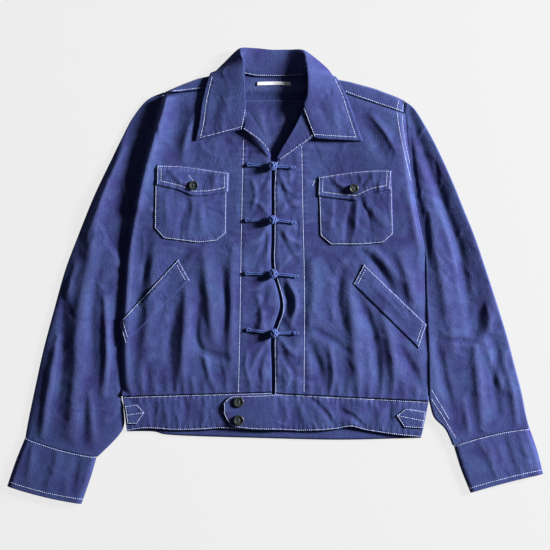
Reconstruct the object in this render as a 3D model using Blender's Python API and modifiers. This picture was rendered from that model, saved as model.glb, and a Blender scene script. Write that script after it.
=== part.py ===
"""Work jacket laid flat with its front up: one solid for every cut and sewn piece.

Tables are in millimetres, x to the right, y to the collar, z up from the surface it lies on.
Left and right are the viewer's.
"""
import math

import bmesh
import bpy
from mathutils import Vector
from mathutils.bvhtree import BVHTree

MM = 0.001
CLOTH = 1.5          # wall of a single panel
BAND = 1.8           # wall of the doubled pieces: collar, cuffs, waistband
SEAM = 0.4           # clear space at a seam or between two layers
BODY_TOP = 6.6       # top of the front panels where no fold lifts them
SIDE_TOP = 3.8       # top of a front panel along its side seam
FRONT_LOW = 3.5      # no trough of a front goes lower than this
SHOULDER_TOP = 7.2   # top of the yoke
SHOULDER_RIDGE = 6.0  # how far the yoke rises beside the left armhole
SLEEVE_TOP = 6.8     # top of a sleeve where no fold lifts it
CUFF_TOP = 7.4
TIP = 2.6            # height of the folded edge of a sleeve
BAND_LOW = 3.0       # underside of the front waistband
NECK_LIFT = 2.7      # underside of the yoke where the collar lies beneath it
BUTTON_SIDES = 16
CORD_SIDES = 10

INDIGO = (0.095, 0.118, 0.330, 1.0)
INDIGO_DEEP = (0.075, 0.092, 0.270, 1.0)
CORD_BLUE = (0.060, 0.120, 0.340, 1.0)
HORN_DARK = (0.020, 0.022, 0.024, 1.0)
TAPE_WHITE = (0.680, 0.680, 0.710, 1.0)

# armhole line: shoulder end, armpit end, how far its middle bows in x
ARMHOLE = {
    "left": {"shoulder": (-178, 291), "armpit": (-239, 40), "bow": -5},
    "right": {"shoulder": (207, 277), "armpit": (240, 45), "bow": -5},
}

# side seam under the armpit: y, x
SIDE_SEAM = {
    "left": ((40, -239), (-11, -242), (-67, -244), (-112, -245), (-270, -245)),
    "right": ((45, 240), (-24, 240.5), (-80, 243), (-136, 245), (-270, 247)),
}

# front panel, a row from its side to its centre edge: side y, centre x, centre y
FRONT_ROWS = {
    "left": (
        (288.2, -69, 301.5), (270, -57, 283), (250, -46.5, 262), (230, -34, 243), (205, -21, 222),
        (178, -10, 199), (150, -7, 176), (112, -7, 140), (75, -7, 100), (40, -7, 60),
        (-5, -7, 10), (-60, 3, -45), (-112, -8, -97), (-155, -7, -146), (-194, -6, -187),
    ),
    "right": (
        (257.8, 66, 304.5), (240, 56, 285), (222, 45, 264), (202, 36, 243), (180, 24, 223),
        (158, 11, 201), (132, 1.5, 180), (100, -2, 142), (72, -2, 104), (43, -2, 60),
        (-10, -2, 12), (-64, 12, -50), (-115, -1, -97), (-160, -1, -146), (-201.5, -1, -189),
    ),
}

# folds of a front panel: start x, start y, end x, end y, half width, height (a trough is below zero)
FRONT_FOLDS = {
    "left": (
        (-174, 300, -202, 180, 10, 10.0), (-202, 180, -226, 90, 10, 7.5), (-228, 80, -232, -30, 9, 5.0),
        (-234, -40, -235, -176, 9, 5.0), (-200, 176, -203, 48, 60, 4.0),
        (-150, 262, -163, 196, 13, -2.2), (-112, 32, -101, -96, 17, 5.5), (-141, -16, -150, -176, 12, 4.5),
        (-187, 44, -200, -40, 15, 4.0), (-203, -60, -214, -165, 13, 3.5), (-68, 40, -72, -150, 10, 3.2),
        (-122, -112, -72, -133, 8, -2.4), (-166, -50, -170, -140, 9, -2.4), (-98, -150, -94, -184, 7, 2.2),
    ),
    "right": (
        (123, -24, 133, -184, 16, 5.0), (152, -32, 164, -180, 9, -2.6), (178, -72, 192, -178, 14, 4.5),
        (210, -120, 228, -184, 9, -2.2), (150, 40, 186, -20, 12, -2.4), (52, -112, 74, -182, 10, -2.6),
        (208, 20, 220, -50, 12, 4.0), (140, 244, 176, 186, 12, -2.2), (104, -4, 102, -76, 8, -2.2),
        (60, 30, 62, -80, 16, 2.4), (212, 130, 228, 40, 10, 3.0), (200, 248, 208, 56, 60, 5.0),
    ),
}

# sleeve, a row for each section from shoulder to cuff seam; where it is sewn is 0 the section ends
# on the armhole, where it is 1 on the sleeve's own seam under the arm:
# outer x, outer y, inner x, inner y, bow y, sewn
SLEEVE_ROWS = {
    "left": (
        (-178.5, 291.5, -180, 284, 0, 0), (-205, 280, -195, 240, 0, 0),
        (-228, 252, -206, 202, 0, 0), (-245, 220, -216, 160, 0, 0),
        (-261, 187, -226, 118, 0, 0), (-279, 150, -233, 76, 0, 0),
        (-293.5, 118, -239, 42, 0, 0), (-315, 64, -243.5, -4, 0, 1),
        (-336, 8, -245, -58, 0, 1), (-354, -56, -246.5, -112, 0, 1),
        (-371, -120, -247.5, -164, 0, 1), (-385, -184, -252, -214, 0, 1),
        (-395, -232, -266, -262, -2, 1), (-400, -260, -285.5, -291, -4, 1),
    ),
    "right": (
        (207.5, 278.5, 208, 270, 0, 0), (223.5, 266, 209, 226, 0, 0),
        (243, 235, 213, 184, 0, 0), (258.5, 206, 218, 146, 0, 0),
        (274, 173, 226, 110, 0, 0), (288.5, 140, 233, 76, 0, 0),
        (302.5, 105, 240, 47, 0, 0), (320.5, 60, 242.4, 0, 0, 1),
        (339.5, 4, 243.6, -52, 0, 1), (355.5, -46, 245.6, -104, 0, 1),
        (371, -96, 247.4, -150, 0, 1), (383, -142, 252, -194, 1, 1),
        (394, -184, 262, -234, 2, 1), (402, -224, 276, -259, 3, 1),
        (407.5, -245, 286, -273, 4, 1),
    ),
}

# folds of a sleeve: start x, start y, end x, end y, half width, height
SLEEVE_FOLDS = {
    "left": (
        (-236, 205, -280, 70, 15, 4.2), (-280, 70, -312, -60, 15, 5.4), (-312, -60, -326, -235, 14, 5.2),
        (-266, -30, -268, -190, 8, 4.0), (-249, -30, -252, -180, 7, -2.0), (-290, -40, -293, -180, 10, -2.0),
        (-345, -70, -348, -220, 9, -2.0), (-352, -110, -372, -240, 8, 3.0),
    ),
    "right": (
        (220, 238, 262, 110, 10, -2.0), (262, 110, 310, -40, 10, -2.0), (236, 190, 268, 30, 14, 4.4),
        (270, 10, 288, -130, 16, 4.6), (340, -96, 352, -190, 10, -2.0), (268, -110, 284, -210, 9, -2.0),
        (300, 60, 336, -50, 14, 4.0), (322, -90, 330, -215, 13, 3.8),
    ),
}

# cuff sections from seam to hem: outer x, outer y, inner x, inner y, bow y, sewn
CUFF_ROWS = {
    "left": (
        (-400.2, -260.5, -285.7, -291.5, -4, 1), (-413.5, -297, -295.5, -325, -4, 1),
        (-427.5, -337, -309.5, -364.45, -3, 1),
    ),
    "right": (
        (407.7, -245.5, 286.2, -273.5, 4, 1), (418.5, -281, 297.5, -310, 3, 1),
        (427.5, -318, 312, -347, 1.5, 1),
    ),
}

# half a section of a sleeve or cuff, from its inner edge over the top to the folded outer edge:
# share of the width, share of the height
TUBE_TOP = ((1.0, 0.5), (0.97, 0.84), (0.9, 0.98), (0.77, 1), (0.64, 1), (0.51, 1), (0.38, 1), (0.25, 1),
            (0.13, 0.98), (0.04, 0.84))
TUBE_LOW = (0.03, 0.27, 0.51, 0.75, 0.97)

# shoulder fold of the yoke and its seam with the fronts: x, y
SHOULDER = (
    (-182, 294.5), (-146, 307.5), (-123, 315), (-109, 317.5), (-70, 326), (66, 319), (101, 312.5),
    (123, 308.5), (160, 299.5), (192, 286.5), (208, 279),
)
YOKE_SEAM = ((-180, 288.4), (-69, 302), (66, 305), (207, 257.8))
# columns of the yoke and of the back panel that is sewn to it: x
YOKE_COLUMNS = (-178, -169, -160, -148, -120, -96, -70, -54, -28, 0, 26, 50, 66, 92, 120, 148, 176, 206)
BACK_SEAM = ((-190, 271), (-70, 280), (66, 280), (215, 257))
NECK_Y = 316.2
NECK_LEFT = -70
NECK_RIGHT = 66

# collar stations from its left end round the neck to its right end, four points each:
# neck seam, roll, turn of the leaf, free edge, every point x, y, z
COLLAR_ROWS = (
    ((-57, 234, 10.5), (-54, 233, 11.8), (-91, 223, 11.6), (-128, 214, 8.8)),
    ((-58, 262, 8.8), (-47, 264, 13.0), (-84, 253, 13.6), (-122, 243, 9.8)),
    ((-66, 288, 8.8), (-48, 288, 14.5), (-82, 282, 15.8), (-117, 277, 11.6)),
    ((-69, 309, 8.8), (-49, 312, 16.5), (-80, 312, 17.0), (-108, 310, 13.0)),
    ((-67, 315, 7.6), (-49, 327, 17.0), (-86, 330, 12.0), (-111, 327, 5.0)),
    ((-62, 320, 6.2), (-50, 340, 17.0), (-90, 343, 1.2), (-101, 318, 1.2)),
    ((-50, 321, 4.6), (-53, 354, 14.0), (-62, 358, 1.2), (-75, 309, 1.2)),
    ((-30, 317.5, 4.2), (-32, 354, 9.5), (-32, 356, 1.2), (-32, 308, 1.2)),
    ((-5, 317.2, 4.2), (-5, 352, 8.5), (-5, 354, 1.2), (-5, 307, 1.2)),
    ((21, 317.4, 4.2), (21, 352, 9.5), (21, 354, 1.2), (21, 307, 1.2)),
    ((46, 319, 4.6), (44, 352, 18.0), (54, 356, 1.2), (64, 306, 1.2)),
    ((58, 316, 6.2), (49, 335, 21.0), (86, 338, 1.2), (96, 312, 1.2)),
    ((63, 311, 7.6), (51, 322, 21.5), (86, 325, 12.0), (104, 320.5, 4.0)),
    ((66, 306, 8.8), (52, 309, 21.0), (78, 311, 15.5), (103, 308, 10.5)),
    ((66, 286, 8.8), (51, 286, 19.5), (84, 285, 15.0), (115, 285, 9.8)),
    ((58, 262, 8.8), (46, 265, 16.5), (86, 258, 14.0), (125, 258, 9.6)),
    ((67, 219, 10.5), (65, 218, 13.0), (101, 216, 11.5), (140, 214, 9.4)),
)

# lapel facing, a row from the roll to the stitched edge: roll x, y, z, edge x, y, z
FACING_ROWS = {
    "left": (
        (-43.5, 261.5, 13.0, -49.5, 231.5, 12.6), (-32.5, 245, 12.6, -41, 226, 12.8),
        (-20, 224, 11.8, -31, 220, 12.4), (-10, 202, 10.6, -19, 211, 11.4),
        (-7, 190, 8.6, -10, 199, 8.6),
    ),
    "right": (
        (43, 262.5, 14.0, 60.5, 220, 11.6), (34.5, 243, 13.0, 50, 211.5, 11.0),
        (23, 222, 11.8, 38, 204.5, 10.2), (11, 202, 10.0, 24, 195, 9.2),
        (3, 187, 8.6, 8, 185, 8.6),
    ),
}

# waistband pieces, a row for each place along it: top x, top y, bottom x, bottom y, lift
BAND_ROWS = {
    "left": (
        (-244, -194.8, -237, -250, 0), (-200, -193.4, -206, -246, 0), (-160, -192.2, -162, -248.5, 0),
        (-120, -191, -120, -248, 0), (-90, -190.2, -86, -246, 0), (-40, -188.8, -40, -248, 0),
        (-7, -187.8, -7, -248, 0),
    ),
    "right": (
        (-82, -206, -82, -219, 3.6), (-79, -201, -78, -229, 3.4), (-72, -195, -72, -239, 2.9),
        (-63, -193, -63, -244, 2.6), (-38, -192.5, -38, -247, 2.6), (-12, -191.5, -12, -248, 2.6),
        (2, -190.2, 2, -248, 2.0), (22, -190.9, 22, -249, 0), (48, -192.3, 42, -250, 0),
        (80, -193.9, 72, -249, 1.4), (112, -195.6, 98, -247, 0), (144, -197.2, 122, -243, 1.8),
        (168, -198.4, 146, -249, 0), (208, -200.5, 192, -256, 0.6), (246, -202.5, 234, -260, 0),
    ),
    "back": (
        (-244, -196, -237, -250.5, 0), (-195, -196, -195, -250.8, 0), (-160, -196, -160, -256.8, 0),
        (0, -197, 0, -262, 0), (104, -199.5, 104, -264, 0), (200, -202, 197, -262, 0),
        (246, -204, 234, -261, 0),
    ),
}

# patches on the fronts and on the waistband, corner by corner: x, y
PATCHES = {
    "pocket_left": ((-191, 171), (-193, 75), (-178, 58), (-122, 51), (-94, 54), (-78, 66), (-77, 165)),
    "pocket_right": ((69, 155), (72, 63), (89, 48), (138, 48), (173, 51), (189, 65), (186, 165)),
    "flap_left": ((-189, 178), (-190, 144), (-155, 135), (-132, 126), (-106, 126.5), (-74, 133), (-73, 168)),
    "flap_right": ((69, 161), (68, 126), (100, 121.5), (129, 119), (158, 130), (185, 136), (186, 170)),
    "welt_left": ((-155, 26), (-252, -80), (-241, -110), (-136, -8)),
    "welt_right": ((142, 18), (125, -14), (229, -118), (252, -88)),
    "tab_left": ((-241, -209), (-237, -239), (-221, -239), (-208, -220), (-221, -206)),
    "tab_right": ((242, -218), (212, -212), (194, -225), (206, -244), (237, -246)),
}

# frog fastenings: knot x, knot y, left end x, left end y, right end x, right end y
FROGS = (
    (-4, 174, -41, 176, 30, 172), (-4, 88, -44, 87, 31, 84), (-3, 2, -44, 2, 35, -2),
    (-2, -93, -42, -88, 35, -93),
)
KNOT = 6.6           # radius of the knot across the front
CORD = 3.0           # half width of the doubled cord
CORD_FLAT = 0.55     # height of the cord work as a share of its width

# buttons: x, y, radius
BUTTONS = {
    "button_pocket_left": (-130, 143, 7.5), "button_pocket_right": (126, 138, 7.5),
    "button_waist_upper": (-58, -203, 8.5), "button_waist_lower": (-58, -232, 8.5),
}
LABEL = {"left": -29, "right": 25, "low": 303.4, "high": 308.8, "wall": 0.8}


def reset():
    """Clear the file and make the jacket's collection with its root."""
    for old in list(bpy.data.objects):
        bpy.data.objects.remove(old, do_unlink=True)
    collection = bpy.data.collections.new("work_jacket")
    bpy.context.scene.collection.children.link(collection)
    root = bpy.data.objects.new("jacket_root", None)
    collection.objects.link(root)
    return collection, root


COLLECTION, ROOT = reset()


def spline(rows, t):
    """Point of the smooth curve through the rows of a table, t from 0 to 1, every column alike."""
    place = min(max(t, 0.0), 1.0) * (len(rows) - 1)
    i = min(int(place), len(rows) - 2)
    f = place - i
    before, start, end, after = rows[max(i - 1, 0)], rows[i], rows[i + 1], rows[min(i + 2, len(rows) - 1)]
    return [
        b + 0.5 * f * (c - a + f * (2 * a - 5 * b + 4 * c - d + f * (3 * (b - c) + d - a)))
        for a, b, c, d in zip(before, start, end, after)
    ]


def along(table, value):
    """Straight interpolation in a two column table kept in order of its first column."""
    pairs = sorted(table)
    value = min(max(value, pairs[0][0]), pairs[-1][0])
    for (low, at_low), (high, at_high) in zip(pairs, pairs[1:]):
        if value <= high:
            return at_low + (at_high - at_low) * (value - low) / (high - low)
    return pairs[-1][1]


def smooth(low, high, value):
    """Soft step from 0 at low to 1 at high."""
    t = min(max((value - low) / (high - low), 0.0), 1.0)
    return t * t * (3 - 2 * t)


def folds(table, x, y):
    """Height all folds of a table add at a point."""
    height = 0.0
    for ax, ay, bx, by, half_width, lift in table:
        run_x, run_y = bx - ax, by - ay
        t = ((x - ax) * run_x + (y - ay) * run_y) / (run_x ** 2 + run_y ** 2)
        t = min(max(t, 0.0), 1.0)
        away = math.hypot(x - ax - t * run_x, y - ay - t * run_y) / half_width
        height += lift * (0.6 + 0.4 * math.sin(math.pi * t)) * math.exp(-away * away)
    return height


def side_x(side, y):
    """x of the body's edge at a height y: the armhole above the armpit, the side seam below it."""
    hole = ARMHOLE[side]
    (top_x, top_y), (low_x, low_y) = hole["shoulder"], hole["armpit"]
    if y < low_y:
        return along(SIDE_SEAM[side], y)
    s = (top_y - y) / (top_y - low_y)
    return top_x + (low_x - top_x) * s + 4 * s * (1 - s) * hole["bow"]


def surface(place, columns, rows):
    """Open grid with every vertex moved to the point place(u, v) in millimetres."""
    bm = bmesh.new()
    bmesh.ops.create_grid(bm, x_segments=columns, y_segments=rows, size=0.5)
    for vert in bm.verts:
        vert.co = Vector(place(vert.co.x + 0.5, vert.co.y + 0.5)) * MM
    bmesh.ops.triangulate(bm, faces=bm.faces[:])
    bm.normal_update()
    return bm


def thicken(bm, rise):
    """Give an open sheet a wall straight up (or down for a rise below zero)."""
    made = bmesh.ops.extrude_face_region(bm, geom=bm.faces[:])
    moved = [item for item in made["geom"] if isinstance(item, bmesh.types.BMVert)]
    bmesh.ops.translate(bm, verts=moved, vec=(0, 0, rise * MM))
    bmesh.ops.recalc_face_normals(bm, faces=bm.faces[:])


def material(name, colour, roughness):
    """Plain material of one piece."""
    made = bpy.data.materials.new(name)
    made.use_nodes = True
    shader = made.node_tree.nodes["Principled BSDF"]
    shader.inputs["Base Color"].default_value = colour
    shader.inputs["Roughness"].default_value = roughness
    shader.inputs["Metallic"].default_value = 0.0
    return made


def piece(name, bm, colour, roughness=0.9):
    """Named object of the jacket from a mesh."""
    mesh = bpy.data.meshes.new(name)
    bm.to_mesh(mesh)
    for polygon in mesh.polygons:
        polygon.use_smooth = True
    obj = bpy.data.objects.new(name, mesh)
    obj.parent = ROOT
    COLLECTION.objects.link(obj)
    mesh.materials.append(material(name + "_material", colour, roughness))
    return obj


def face_out(bm):
    """Turn a sheet so that its lowest face looks down."""
    lowest = min(bm.faces, key=lambda face: face.calc_center_median().z)
    if lowest.normal.z > 0:
        bmesh.ops.reverse_faces(bm, faces=bm.faces[:])
    bm.normal_update()


def wall(obj, thickness, offset):
    """Cloth wall on an open sheet or tube."""
    shell = obj.modifiers.new("cloth wall", "SOLIDIFY")
    shell.thickness = thickness * MM
    shell.offset = offset
    shell.use_even_offset = True
    shell.use_rim = True


def make_back():
    """Back panel, flat on the surface between the yoke seam and the waistband."""
    def place(u, v):
        column = YOKE_COLUMNS[round(u * (len(YOKE_COLUMNS) - 1))]
        share = (column - YOKE_COLUMNS[0]) / (YOKE_COLUMNS[-1] - YOKE_COLUMNS[0])
        seam_y = along(BACK_SEAM, column) - SEAM
        low_y = -194 - 5.0 * smooth(0.3, 1.0, share)
        y = seam_y + (low_y - seam_y) * v
        left = side_x("left", y) + 2 * SEAM
        right = side_x("right", y) - 2 * SEAM
        x = left + (right - left) * share
        return (x + (column - x) * (1 - v) ** 8 * (0 < u < 1), y, CLOTH)
    bm = surface(place, len(YOKE_COLUMNS) - 1, 12)
    thicken(bm, -CLOTH)
    piece("back", bm, INDIGO)


def make_front(side):
    """Front panel; gives back its open upper surface for what is sewn onto it."""
    sign = 1 if side == "left" else -1

    def place(u, v):
        side_y, centre_x, centre_y = spline(FRONT_ROWS[side], v)
        edge = side_x(side, side_y) + sign * 2 * SEAM
        x = edge + (centre_x - edge) * u
        y = side_y + (centre_y - side_y) * u
        from_side = abs(x - edge)
        hangs = 1 - smooth(ARMHOLE[side]["armpit"][1] - 30, ARMHOLE[side]["armpit"][1] + 30, side_y)
        z = BODY_TOP + (SIDE_TOP - BODY_TOP) * hangs * math.exp(-(from_side / 9) ** 2)
        fade = smooth(-4, 10, from_side) * smooth(-0.02, 0.04, v) * (1 - 0.6 * smooth(0.93, 1.0, v))
        z += folds(FRONT_FOLDS[side], x, y) * fade
        return (x, y, max(z, FRONT_LOW))
    bm = surface(place, 14, 27)
    top = bm.copy()
    thicken(bm, -CLOTH)
    piece("front_" + side, bm, INDIGO)
    return top


def make_tube(name, side, rows, creases, steps, thickness, top):
    """Sleeve or cuff: a sheet folded at its outer edge and closed where it is sewn under the arm."""
    ring = list(TUBE_TOP) + [(0.0, None)] + [(share, 0.0) for share in TUBE_LOW] + [(1.0, 0.0)]

    def place(u, v):
        out_x, out_y, in_x, in_y, bow_y, sewn = spline(rows, v)
        share, level = ring[round(u * (len(ring) - 1))]
        if sewn < 0.5:
            in_x = side_x(side, in_y)
        x = out_x + (in_x - out_x) * share
        y = out_y + (in_y - out_y) * share + 4 * share * (1 - share) * bow_y
        if level is None or share == 1.0 and sewn >= 0.5:
            return (x, y, TIP)
        if level == 0.0:
            return (x, y, 0.0)
        if share > 0.5 and sewn < 0.5:
            level = 1.0
        fade = smooth(0.0, 0.12, share) * smooth(0.0, 0.12, 1 - share) * smooth(0.0, 0.1, v)
        lift = folds(creases, x, y) * fade * (1 - smooth(0.93, 1.0, v))
        return (x, y, max(level * top + lift, TIP + 2.2))
    bm = surface(place, len(ring) - 1, steps)
    bmesh.ops.remove_doubles(bm, verts=bm.verts[:], dist=0.01 * MM)
    face_out(bm)
    wall(piece(name, bm, INDIGO), thickness, -1)


def make_yoke():
    """Shoulder yoke: flat across the back, folded over both shoulders, open at the neck."""
    steps = 10

    def lift(x, y):
        return NECK_LIFT * (1 - smooth(112, 132, abs(x))) * smooth(286, 300, y)

    def place(u, v):
        x = YOKE_COLUMNS[round(u * (len(YOKE_COLUMNS) - 1))]
        row = round(v * steps)
        low = lift(x, 320)
        radius = (SHOULDER_TOP - low) / 2
        fold_y = along(SHOULDER, x) - radius
        neck = NECK_LEFT < x < NECK_RIGHT
        if row <= 3:
            back_y = along(BACK_SEAM, x)
            y = back_y + ((NECK_Y if neck else fold_y) - back_y) * row / 3
            z = lift(x, y)
        elif row <= 7:
            turn = math.pi * ((row - 3) / 4 - 0.5)
            y = fold_y + radius * math.cos(turn)
            z = low + radius * (1 + math.sin(turn))
        else:
            seam_y = along(YOKE_SEAM, x) + SEAM
            y = fold_y + (seam_y - fold_y) * (row - 7) / 3
            z = SHOULDER_TOP
        from_armhole = x - side_x("left", y)
        z += SHOULDER_RIDGE * smooth(3, 7, row) * math.exp(-((from_armhole - 12) / 9) ** 2)
        if u == 0:
            x = side_x("left", y) + 2 * SEAM
        if u == 1:
            x = side_x("right", y) - 2 * SEAM
        return (x, y, z)
    bm = surface(place, len(YOKE_COLUMNS) - 1, steps)
    opening = []
    for face in bm.faces:
        centre = face.calc_center_median() / MM
        if NECK_LEFT < centre.x < NECK_RIGHT and (centre.z > NECK_LIFT + 0.01 or centre.y > NECK_Y + 12):
            opening.append(face)
    bmesh.ops.delete(bm, geom=opening, context="FACES")
    face_out(bm)
    wall(piece("yoke", bm, INDIGO), CLOTH, -1)


def make_collar():
    """Turn-down collar: stand, roll and leaf in one sheet, its fall under the yoke at the back."""
    flat_rows = [[value for point in row for value in point] for row in COLLAR_ROWS]

    def place(u, v):
        values = [Vector(spline(flat_rows, v)[k:k + 3]) for k in (0, 3, 6, 9)]
        seam, roll, turn, edge = values
        peak = (2 * roll - 0.5 * seam - 0.25 * turn) / 1.25
        middle = (peak + turn) / 2
        if u <= 0.5:
            start, pull, end, t = seam, peak, middle, 2 * u
        else:
            start, pull, end, t = middle, turn, edge, 2 * u - 1
        return start * (1 - t) ** 2 + pull * (2 * t * (1 - t)) + end * t * t
    bm = surface(place, 10, 40)
    wall(piece("collar", bm, INDIGO_DEEP), BAND, 0)


def make_facing(side):
    """Lapel: the facing turned out over the front."""
    def place(u, v):
        values = spline(FACING_ROWS[side], v)
        roll, edge = Vector(values[:3]), Vector(values[3:])
        return roll + (edge - roll) * u
    bm = surface(place, 4, 10)
    thicken(bm, -CLOTH)
    piece("facing_" + side, bm, INDIGO_DEEP)


def make_band(side):
    """Waistband piece; gives back its open upper surface."""
    low = 0.0 if side == "back" else BAND_LOW
    rows = BAND_ROWS[side]

    def place(u, v):
        top_x, top_y, low_x, low_y, lift = spline(rows, u)
        crown = 1.2 * 4 * v * (1 - v) if side != "back" else 0.0
        return (top_x + (low_x - top_x) * v, top_y + (low_y - top_y) * v, low + BAND + lift + crown)
    bm = surface(place, 2 * (len(rows) - 1) + 6, 4)
    top = bm.copy()
    thicken(bm, -BAND)
    piece("waistband_" + side, bm, INDIGO)
    return top


def make_patch(name, under, lift, thickness):
    """Piece sewn onto a panel: cut out of the panel's own surface and moved up off it."""
    bm = under.copy()
    corners = PATCHES[name]
    middle = Vector((sum(c[0] for c in corners), sum(c[1] for c in corners), 0)) / len(corners)
    for (ax, ay), (bx, by) in zip(corners, corners[1:] + corners[:1]):
        outward = Vector((by - ay, ax - bx, 0)).normalized()
        if outward.dot(middle - Vector((ax, ay, 0))) > 0:
            outward.negate()
        geometry = bm.verts[:] + bm.edges[:] + bm.faces[:]
        bmesh.ops.bisect_plane(bm, geom=geometry, dist=1e-7, plane_co=(ax * MM, ay * MM, 0),
                               plane_no=outward, clear_outer=True)
    bmesh.ops.remove_doubles(bm, verts=bm.verts[:], dist=0.05 * MM)
    bmesh.ops.translate(bm, verts=bm.verts[:], vec=(0, 0, lift * MM))
    top = bm.copy()
    bmesh.ops.translate(top, verts=top.verts[:], vec=(0, 0, thickness * MM))
    thicken(bm, thickness)
    piece(name, bm, INDIGO)
    return top


def highest(surfaces, x, y, reach):
    """Highest point of some surfaces within a reach of x, y."""
    found = []
    for bm in surfaces:
        tree = BVHTree.FromBMesh(bm)
        for k in range(25):
            angle = k * math.pi / 4
            far = reach * math.ceil(k / 8) / 3
            start = Vector((x + far * math.cos(angle), y + far * math.sin(angle), 100)) * MM
            hit = tree.ray_cast(start, Vector((0, 0, -1)))[0]
            if hit:
                found.append(hit.z / MM)
    return max(found)


def turned(profile, axis, sides):
    """Solid of revolution from rows of distance along the axis and radius."""
    bm = bmesh.new()
    verts = []
    for far, radius in profile:
        point = (far, radius, 0) if axis == "X" else (radius, 0, far)
        verts.append(bm.verts.new(Vector(point) * MM))
    edges = [bm.edges.new(pair) for pair in zip(verts, verts[1:])]
    turn_axis = (1, 0, 0) if axis == "X" else (0, 0, 1)
    bmesh.ops.spin(bm, geom=verts + edges, cent=(0, 0, 0), axis=turn_axis, angle=2 * math.pi, steps=sides,
                   use_merge=True)
    bmesh.ops.remove_doubles(bm, verts=bm.verts[:], dist=0.01 * MM)
    bmesh.ops.recalc_face_normals(bm, faces=bm.faces[:])
    return bm


def make_button(name, under):
    """Rimmed button lying on the piece under it."""
    x, y, radius = BUTTONS[name]
    profile = ((0, 0), (0, 0.8 * radius), (1.0, radius), (2.3, radius), (2.9, 0.88 * radius),
               (2.2, 0.66 * radius), (1.9, 0))
    bm = turned(profile, "Z", BUTTON_SIDES)
    low = highest([under], x, y, radius) + 0.3
    bmesh.ops.translate(bm, verts=bm.verts[:], vec=Vector((x, y, low)) * MM)
    piece(name, bm, HORN_DARK, 0.35)


def make_cord(name, start, end, start_z, end_z, profile):
    """Cord work turned about its length, flattened, and laid from start to end."""
    bm = turned(profile, "X", CORD_SIDES)
    length = profile[-1][0]
    run = Vector((end[0] - start[0], end[1] - start[1], 0)).normalized()
    across = Vector((-run.y, run.x, 0))
    for vert in bm.verts:
        share = vert.co.x / MM / length
        z = vert.co.z * CORD_FLAT + (start_z + (end_z - start_z) * share) * MM
        base = Vector((start[0] * MM, start[1] * MM, z))
        vert.co = base + run * vert.co.x + across * vert.co.y
    piece(name, bm, CORD_BLUE, 0.75)


def make_frog(number, fronts):
    """Frog fastening: the knot with its bar on the right, the loop bar on the left."""
    knot_x, knot_y, left_x, left_y, right_x, right_y = FROGS[number - 1]
    knot, left, right = (knot_x, knot_y), (left_x, left_y), (right_x, right_y)
    knot_z = highest(fronts, knot_x, knot_y, KNOT + 4) + 0.4 + KNOT * CORD_FLAT
    right_z = highest(fronts, right_x, right_y, 6) + 0.4 + CORD * CORD_FLAT
    left_z = highest(fronts, left_x, left_y, 6) + 0.4 + CORD * CORD_FLAT
    reach = math.dist(knot, right)
    ball = [(-KNOT * math.cos(a * math.pi / 8), KNOT * math.sin(a * math.pi / 8)) for a in range(7)]
    bar = [(reach - 4, CORD), (reach - 1, 0.8 * CORD), (reach, 0)]
    profile = [(far + KNOT, radius) for far, radius in ball + [(KNOT, CORD)] + bar]
    direction = Vector((right_x - knot_x, right_y - knot_y)).normalized()
    start = (knot_x - direction.x * KNOT, knot_y - direction.y * KNOT)
    make_cord("frog_%d_knot" % number, start, right, knot_z, right_z, profile)
    length = math.dist(knot, left) - KNOT - 0.6
    loop = [(0, 0), (1, 0.8 * CORD), (4, CORD), (length - 5, CORD), (length - 1.5, 1.1 * CORD), (length, 0)]
    make_cord("frog_%d_loop" % number, left, knot, left_z, knot_z, loop)


def make_label():
    """Plain woven tape label inside the back neck."""
    def place(u, v):
        x = LABEL["left"] + (LABEL["right"] - LABEL["left"]) * u
        y = LABEL["low"] + (LABEL["high"] - LABEL["low"]) * v
        return (x, y, NECK_LIFT + CLOTH + SEAM + LABEL["wall"])
    bm = surface(place, 2, 1)
    thicken(bm, -LABEL["wall"])
    piece("neck_label", bm, TAPE_WHITE)


def main():
    """Build every piece, the large panels first."""
    make_back()
    fronts = {side: make_front(side) for side in ("left", "right")}
    bands = {side: make_band(side) for side in ("left", "right", "back")}
    for side in ("left", "right"):
        sections = 2 * (len(SLEEVE_ROWS[side]) - 1)
        make_tube("sleeve_" + side, side, SLEEVE_ROWS[side], SLEEVE_FOLDS[side], sections, CLOTH, SLEEVE_TOP)
        make_tube("cuff_" + side, side, CUFF_ROWS[side], (), 4, BAND, CUFF_TOP)
        make_facing(side)
        make_patch("pocket_" + side, fronts[side], SEAM, CLOTH)
        flap = make_patch("flap_" + side, fronts[side], 2 * SEAM + CLOTH, CLOTH)
        make_button("button_pocket_" + side, flap)
        make_patch("welt_" + side, fronts[side], SEAM, CLOTH)
        make_patch("tab_" + side, bands[side], SEAM, CLOTH)
    make_yoke()
    make_collar()
    make_label()
    for number in range(1, len(FROGS) + 1):
        make_frog(number, list(fronts.values()))
    for name in ("button_waist_upper", "button_waist_lower"):
        make_button(name, bands["right"])


main()
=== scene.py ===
"""Cloth, sewing and trimmings of a work jacket laid flat with its front up.

Tables are in millimetres, x to the right, y to the collar, z up from the surface it lies on.
Left and right are the viewer's.
"""
import math

import bmesh
import bpy
import numpy as np
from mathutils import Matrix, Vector
from mathutils.bvhtree import BVHTree


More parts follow.
